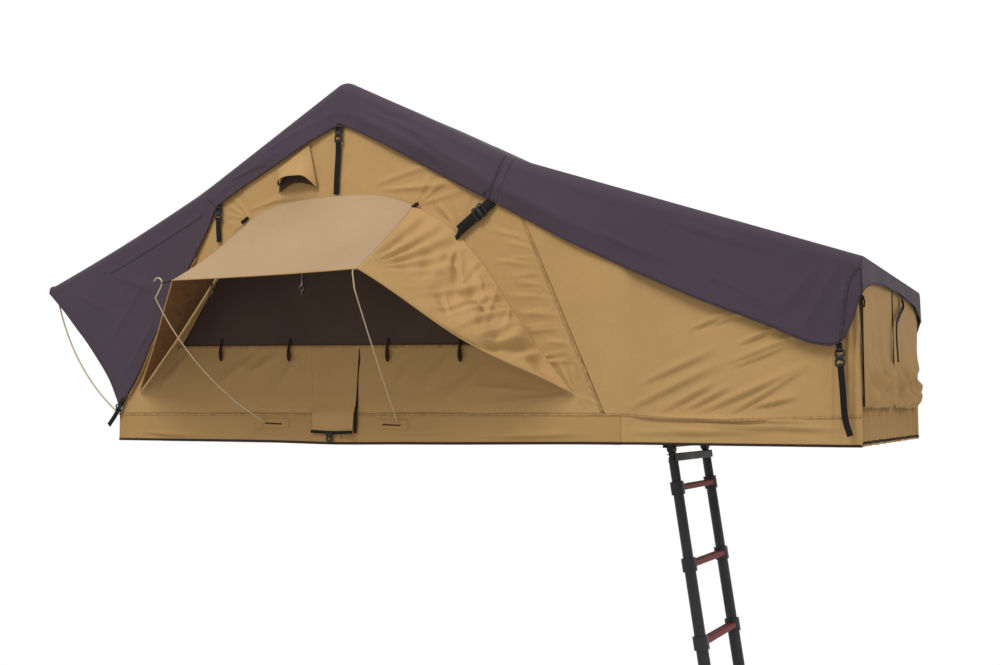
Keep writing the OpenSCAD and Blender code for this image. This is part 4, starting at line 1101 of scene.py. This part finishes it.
CORNER_FOOT_X, BAND_UP = 2.475, 0.096
SNAP_RINGS = ((0.0065, 0.0), (0.0065, 0.002), (0.005, 0.0035), (0.0025, 0.0038))
last = len(entry_p) - 1
foot_column = int(np.argmin(np.abs(entry_lows[:, 0] - CORNER_FOOT_X)))
corner_seam = np.array([entry_p[round(last - (last - foot_column) * (1 - k / ENTRY_ROWS)), k]
                        for k in range(ENTRY_ROWS)])
rows = np.clip(WING_ROWS * (band_size - BAND_UP) / (band_size - SHOULDER), 0, WING_ROWS - 1.01)
band = row_path(left_p, rows)[(top_left > -0.66) & (top_left < -0.19)]
turn = circle(20)
for word, side in SIDES:
    face = (0, side, 0)
    line = other_side(main_p[-6, :MAIN_ROWS + 5] + (0, -FLY_SEWN, 0), side)
    folds(ribbon(f"fly_join_{word}", line, 0.011, TAPE, face), "fly_seam")
    on_fly_rods(ribbon(f"fly_band_{word}", other_side(band, side), 0.020, 0.0018, face), "fly")
    line = other_side(corner_seam + (0, -FLY_SEWN, 0), side)
    on_entrance(ribbon(f"fly_corner_{word}", line, 0.010, TAPE, face), "fly_seam")
    x0, y0, z0 = other_side(main_p[-9, 2] + (0, -SEWN, 0), side)
    rings = [xyz(x0 + r * np.cos(turn), y0 + side * d, z0 + r * np.sin(turn)) for r, d in SNAP_RINGS]
    folds(loft(f"fly_snap_{word}", rings), "black")

# Bound edge beside the wings, and the strap that ties each wing down
WING_TAIL = ((-0.548, 0.7080, 0.190), (-0.572, 0.7100, 0.150), (-0.592, 0.7100, 0.118),
             (-0.634, 0.7060, 0.074))
inner_edge = at(WING_IN[1:5], 60, 0.05) + (0.006, -0.004)
for word, side in SIDES:
    path = stand(inner_edge, side * (FLY_Y - 0.001))
    on_fly_rods(tube(f"wing_binding_{word}", path, 0.0032), "seam")
    tail = at([(x, side * y, z) for x, y, z in WING_TAIL], 30, 0.02)
    rides(ribbon(f"wing_tail_{word}", tail, 0.022, 0.0018, (0, side, 0)), "base", "strap")
    rides(buckle(f"wing_buckle_{word}", (-0.574, side * 0.7130, 0.148), 0.026, 0.030, side), "base", "black")

# End flap of the fly, arched over the curtain
ARCH = [(-0.7045, 0.508), (-0.660, 0.530), (-0.509, 0.558), (-0.291, 0.572), (0, 0.576), (0.291, 0.572),
        (0.509, 0.558), (0.660, 0.530), (0.7045, 0.508)]
low = at(ARCH, 140, 0.04)
over = np.clip((np.abs(low[:, 0]) - (FLY_Y - SHOULDER)) / SHOULDER, 0, 1)
high = np.stack([low[:, 0], FLY_TOP[4][1] - SHOULDER * (1 - np.sqrt(1 - over ** 2))], 1)
t = np.linspace(0, 1, 24)[None, :, None]
flat = low[:, None] * (1 - t) + high[:, None] * t
lift = 0.006 * (1 - t[..., 0]) * np.sin(low[:, :1] * 9 + 0.5) ** 2
p = xyz(FLY_TOP[4][0] + 0.0012 + lift, flat[..., 0], flat[..., 1])
end_flap = cloth("fly_end_flap", p)
on_entrance(end_flap, "fly", ("fly_entry_sides",))
on_entrance(tube("fly_end_hem", p[:, 0], HEM_R), "fly_seam")

# Covered entrance: side walls, curtain with its door panels, and roof
ENTRY_LOW_Z, JOINT_X, JOINT_CALM = 0.020, 1.7254, 0.07

# Long diagonal folds of the side walls as start, end and width
ENTRY_FOLDS = (
    ((1.700, 0.122), (2.080, 0.300), 0.011), ((1.860, 0.132), (2.060, 0.236), 0.008),
    ((1.950, 0.138), (2.110, 0.222), 0.007), ((1.985, 0.124), (2.370, 0.290), 0.010),
    ((2.100, 0.124), (2.350, 0.268), 0.008), ((2.170, 0.146), (2.330, 0.184), 0.007),
    ((2.090, 0.292), (2.370, 0.398), 0.009), ((2.130, 0.354), (2.290, 0.424), 0.007),
    ((1.960, 0.406), (2.120, 0.474), 0.007), ((2.030, 0.416), (2.180, 0.480), 0.007),
    ((2.110, 0.280), (2.330, 0.362), 0.008), ((1.780, 0.225), (2.060, 0.345), 0.010),
    ((1.740, 0.118), (2.400, 0.100), 0.008), ((1.740, 0.060), (2.260, 0.074), 0.010),
    ((1.900, 0.092), (2.470, 0.078), 0.008))
CORNER_FOLDS = ((2.440, 0.006), (2.466, 0.008), (2.492, 0.010), (2.516, 0.008))
WALL_INSET = 0.0162


def corner_in(x, z):
    """How far the side walls turn in near the entrance's end."""
    return 0.030 * smooth(2.45, ENTRY_X, x) * smooth(0.52, 0.36, z)


def entry_wrinkles(x, z):
    """Diagonal folds from the lower seam towards the entrance's end, and upright ones at its corner."""
    w = 0.001 * ripples(x, z, 41, 0.12, 0.5)
    for a, b, wide in ENTRY_FOLDS:
        w += crease(x, z, a, b, wide, 0.012)
    for x0, h in CORNER_FOLDS:
        w += crease(x, z, (x0 - 0.004, 0.020), (x0 + 0.006, 0.520), 0.006, h)
    begin = smooth(JOINT_X, JOINT_X + JOINT_CALM, x)
    inside = begin * (1 - smooth(ENTRY_X - 0.07, ENTRY_X - 0.01, x))
    return np.clip(w, -0.002, 0.0125) * begin + 0.0025 - WALL_INSET * inside


def on_entry(points, side, lift=SEWN):
    p = np.array(points, float)
    x, z = p[..., 0], p[..., 1]
    return stand(p, side * (WALL_Y + entry_wrinkles(x, z) - corner_in(x, z) + lift))


low = at([(JOINT_X, ENTRY_LOW_Z), (ENTRY_X, ENTRY_LOW_Z)], 190)
high = at([SEAM_TOP, ROOF[2], ROOF[3]], 190)
left = at([(JOINT_X, ENTRY_LOW_Z), (JOINT_X, 0.124), (1.664, 0.128), SEAM_TOP], 110)
right = at([(ENTRY_X, ENTRY_LOW_Z), ROOF[3]], 110)
flat = coons(low, high, left, right)
seam_line = at([(JOINT_X, 0.1225), (1.86, 0.112), (2.10, 0.104), (ENTRY_X - 0.004, 0.118)], 120, 0.1)
hem_line = at([(JOINT_X, ENTRY_LOW_Z + 0.004), (ENTRY_X - 0.002, ENTRY_LOW_Z + 0.004)], 120)
for word, side in SIDES:
    face, y0 = (0, side, 0), side * 0.7050
    g = on_entry(flat, side, 0)
    ob = cloth(f"entrance_{word}_wall", g if side < 0 else g[:, ::-1])
    on_entrance(ob, "canvas", (f"entry_wall_{word}",))
    on_entrance(ribbon(f"entrance_seam_{word}", on_entry(seam_line, side), 0.011, SEAM, face), "seam")
    on_entrance(ribbon(f"entrance_hem_{word}", on_entry(hem_line, side), 0.009, WEBBING, face), "edge")
    down = at([(2.469, y0 - side * 0.004, 0.352), (2.470, y0, 0.322)], 12)
    on_entrance(ribbon(f"strap_end_{word}", down, 0.020, WEBBING, face), "strap")
    place = (2.471, y0 + side * 0.001, 0.304)
    on_entrance(buckle(f"buckle_end_{word}", place, 0.026, 0.050, side), "black")
    tail = at([(2.472, y0, 0.286), (2.478, y0 - side * 0.002, 0.20), (2.482, y0 - side * 0.002, 0.110),
               (2.498, y0 - side * 0.004, 0.056)], 40, 0.03)
    on_entrance(ribbon(f"strap_end_tail_{word}", tail, 0.020, WEBBING, face), "strap")

p = roof_strip(at([ROOF[2], ROOF[3]], 90), 60, 0.010 * np.sin(np.linspace(0, math.pi, 90)))
entry_roof = cloth("entrance_roof", p[:, ::-1])
on_entrance(entry_roof, "canvas", ("entry_roof",))

s = np.linspace(-1, 1, 210)[:, None]
z = np.linspace(ENTRY_LOW_Z, ROOF[3][1], 70)[None]
y = s * (WALL_Y - 0.001 - corner_in(np.array(ENTRY_X), z))
pleats = np.abs(np.sin(y * 30 + 1.1 * np.sin(y * 11))) ** 0.8
deep = 0.003 + 0.028 * smooth(0.20, 0.12, z) * pleats + 0.002 * ripples(y, z, 51, 0.08, 0.3)
p = xyz(ENTRY_X - np.clip(deep, 0, 0.034) * smooth(0, 0.03, 1 - np.abs(s)), y, z)
curtain = cloth("entrance_curtain", p)
on_entrance(curtain, "canvas", ("entry_end",))
on_entrance(ribbon("curtain_hem", p[:, 1] + (0.0015, 0, 0.003), 0.009, WEBBING, END), "edge")

DOOR_LOW, DOOR_TOP = 0.146, 0.585
for word, y0, y1, seed in (("near", -0.640, -0.022, 91), ("far", 0.012, 0.630, 95)):
    s, t = unit_grid(100, 70)
    y = y0 + (y1 - y0) * s + 0.020 * (1 - t) * (0.5 - s)
    z = DOOR_LOW + (DOOR_TOP - DOOR_LOW) * t + 0.0015 * np.sin(y * 16) * (1 - t)
    slack = smooth(0.95, 0.35, t)
    heap = smooth(0.50, 0.22, t) * smooth(-0.02, 0.06, t)
    upright = 0.5 + 0.5 * np.sin(y * 26 + 2.2 * np.sin(y * 7 + seed) + 1.4 * t)
    crumple = 0.5 + facets(1.7 * y, 1.7 * z, seed)
    sewn = smooth(0, 0.09, s) * smooth(1, 0.91, s)
    out = 0.0025 + (0.013 * slack * upright ** 1.5 + 0.025 * heap * np.maximum(crumple, 0)) * sewn
    ob = cloth(f"door_panel_{word}", xyz(ENTRY_X + out, y, z))
    on_entrance(ob, "canvas")


def zip_line(name, *points):
    """A zip: dark tape with its coil and a pull at the top."""
    path = at(points, 60, 0.04)
    pull = at(path[0] + [(0.004, 0, -0.004), (0.007, 0.006, -0.022), (0.005, 0.008, -0.040)], 10)
    parts = [ribbon("tape", path, 0.024, TAPE, END), tube("coil", path + (TAPE, 0, 0), COIL_R),
             tube("pull", pull, 0.0028)]
    on_entrance(join(name, parts), "zip")


zip_line("zip_corner", (2.5335, -0.652, 0.508), (2.5335, -0.655, 0.35), (2.5335, -0.650, 0.150))
zip_line("zip_door", (2.5435, 0.150, 0.560), (2.5450, 0.200, 0.540), (2.5480, 0.090, 0.505),
         (2.5510, -0.050, 0.455), (2.5550, -0.080, 0.390), (2.5600, -0.085, 0.312))

# Skirt around the base, with a patch and a slit where each awning rod comes out
SKIRT_FOLDS = (((-0.45, 0.045), (-0.10, 0.032)), ((0.05, 0.06), (0.40, 0.035)), ((0.75, 0.05), (1.10, 0.062)),
               ((1.15, 0.04), (1.60, 0.058)))
SKIRTS = (("base", LEFT_X, FOLD_X - 0.001, "skirt_fixed", "base_panel_fixed", (0.250, 0.087)),
          ("fold_out", FOLD_X + 0.001, END_X, "skirt_fold", "base_panel_fold", (0.805, 0.084)))


def skirt_low(x):
    return 0.011 - 0.005 * np.exp(-((x - 0.55) / 0.25) ** 2) + 0.009 * smooth(0.9, 1.7, x)


def skirt_out(x, z):
    """How far the skirt stands out from the wall's plane, calm where it meets the entrance."""
    wave = 0.0016 * np.sin(x * 14 + 3 * z) + 0.0018 * ripples(x, z, 61, 0.06, 0.4)
    for a, b in SKIRT_FOLDS:
        wave += crease(x, z, a, b, 0.010, 0.008)
    return 0.0025 + np.clip(wave, -0.0015, 0.008) * smooth(JOINT_X, JOINT_X - JOINT_CALM, x)


for body, x0, x1, node, panel, (slit_x, slit_z) in SKIRTS:
    x = np.linspace(x0, x1, 150)[:, None]
    z = skirt_low(x) + (SKIRT_TOP - skirt_low(x)) * np.linspace(0, 1, 30)[None]
    for word, side in SIDES:
        face, out = (0, side, 0), (0, side * 0.0013, 0)
        g = xyz(x, side * (WALL_Y + skirt_out(x, z)), z)
        ob = cloth(f"skirt_{word}_{body}", g if side < 0 else g[:, ::-1])
        rides(ob, body, "canvas_low", (node,))
        seam = ribbon(f"skirt_seam_{word}_{body}", g[:, 28] + out, 0.010, SEAM, face)
        rides(seam, body, "seam")
        rides(ribbon(f"skirt_hem_{word}_{body}", g[:, 1] + out, 0.010, WEBBING, face), body, "edge")
    px, pz = slit_x + 0.066 * np.linspace(-1, 1, 24)[:, None], slit_z + 0.019 * np.linspace(-1, 1, 14)[None]
    patch = cloth(f"rod_patch_{body}", xyz(px, -WALL_Y - skirt_out(px, pz) - 0.0015, pz))
    rides(patch, body, "canvas_low")
    cut = at([(slit_x - 0.050, slit_z), (slit_x, slit_z - 0.002), (slit_x + 0.032, slit_z - 0.003)], 14)
    slit = stand(cut, -WALL_Y - skirt_out(cut[:, 0], cut[:, 1]) - 0.0026)
    rides(ribbon(f"rod_slit_{body}", slit, 0.0055, TAPE, NEAR), body, "edge")
y, z = np.linspace(-0.674, 0.674, 90)[:, None], np.linspace(0.017, 0.117, 16)[None]
p = xyz(LEFT_X - 0.001 - np.clip(0.002 * ripples(y, z, 71, 0.08, 0.4), 0, 0.005), y, z)
ob = cloth("skirt_end", p[:, ::-1])
rides(ob, "base", "canvas_low")

# Mattress halves: how far each ring lies in from the side, and its height
MATTRESS_Z, MATTRESS_Y = 0.0605, 0.651
PROFILE = [(0.30, 0.0), (0.05, 0.0), (0.016, 0.0006), (0.004, 0.006), (0.0, 0.012), (0.004, 0.021),
           (0.0, 0.031), (0.003, 0.037), (0.014, 0.0418), (0.05, 0.0440), (0.12, 0.0470), (0.22, 0.0495),
           (0.34, 0.0505), (0.50, 0.0507)]


def rounded_ring(x0, x1, half, inset):
    c, s = np.cos(circle(96)), np.sin(circle(96))
    a, b = (x1 - x0) / 2 - inset, half - inset
    k = (np.abs(c) ** 14 + np.abs(s) ** 14) ** (-1 / 14)
    return (x0 + x1) / 2 + a * c * k, b * s * k


def mattress(name, x0, x1, node, body):
    rings = []
    for inset, up in PROFILE:
        x, y = rounded_ring(x0, x1, MATTRESS_Y, inset)
        quilt = 0.0012 * np.sin(x * 30) * np.sin(y * 30) if up > 0.042 and inset < 0.45 else 0
        rings.append(xyz(x, y, MATTRESS_Z + up + quilt))
    ob = loft(name, rings)
    rides(ob, body, "mattress", (node,))


mattress("mattress_left", -0.557, 0.563, "mattress_fixed", "base")
mattress("mattress_right", 0.577, 1.684, "mattress_fold", "fold_out")

# Light, floor and a white background
FLOOR_RINGS = ((1.0, 0.0), (2.99, 0.0), (3.0, 0.004), (3.0, 0.02))
turn = circle(72)
rings = [xyz(0.9 + r * np.cos(turn), r * np.sin(turn), cad_low[2] - 0.001 - d) for r, d in FLOOR_RINGS]
floor = loft("floor", rings)
floor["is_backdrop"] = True
m = Nodes("floor", 0.9)
greys = [(0.3, (0.82, 0.82, 0.82, 1)), (0.7, (0.86, 0.86, 0.86, 1))]
m.link(m.ramp(m.noise(m.place, 3.0), greys), m.bsdf.inputs["Base Color"])
floor.data.materials.append(m.mat)

world = bpy.data.worlds.new("studio")
scene.world = world
world.use_nodes = True
tree = world.node_tree
tree.nodes.clear()


def larger(a, b):
    node = tree.nodes.new("ShaderNodeMath")
    node.operation = "MAXIMUM"
    tree.links.new(a, node.inputs[0])
    tree.links.new(b, node.inputs[1])
    return node.outputs[0]


rays = tree.nodes.new("ShaderNodeLightPath").outputs
seen = larger(larger(rays["Is Camera Ray"], rays["Is Glossy Ray"]), rays["Is Transmission Ray"])
glow = tree.nodes.new("ShaderNodeBackground")
glow.inputs[0].default_value = (1, 1, 1, 1)
level = tree.nodes.new("ShaderNodeMapRange")
level.inputs["To Min"].default_value = 0.55
level.inputs["To Max"].default_value = 1.0
tree.links.new(seen, level.inputs["Value"])
tree.links.new(level.outputs[0], glow.inputs["Strength"])
tree.links.new(glow.outputs[0], tree.nodes.new("ShaderNodeOutputWorld").inputs[0])


def lamp(name, place, target, size, power):
    light = bpy.data.lights.new(name, "AREA")
    light.shape = "DISK"
    light.size = size
    light.energy = power
    ob = bpy.data.objects.new(name, light)
    scene.collection.objects.link(ob)
    ob.location = place
    ob.rotation_euler = (Vector(target) - Vector(place)).to_track_quat("-Z", "Y").to_euler()


lamp("key", (0.2, -5.0, 6.2), (0.8, 0, 0.5), 3.0, 320)
lamp("fill", (6.0, -2.4, 2.6), (1.0, 0, 0.5), 2.0, 42)

scene.view_settings.view_transform = "Standard"

low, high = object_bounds()
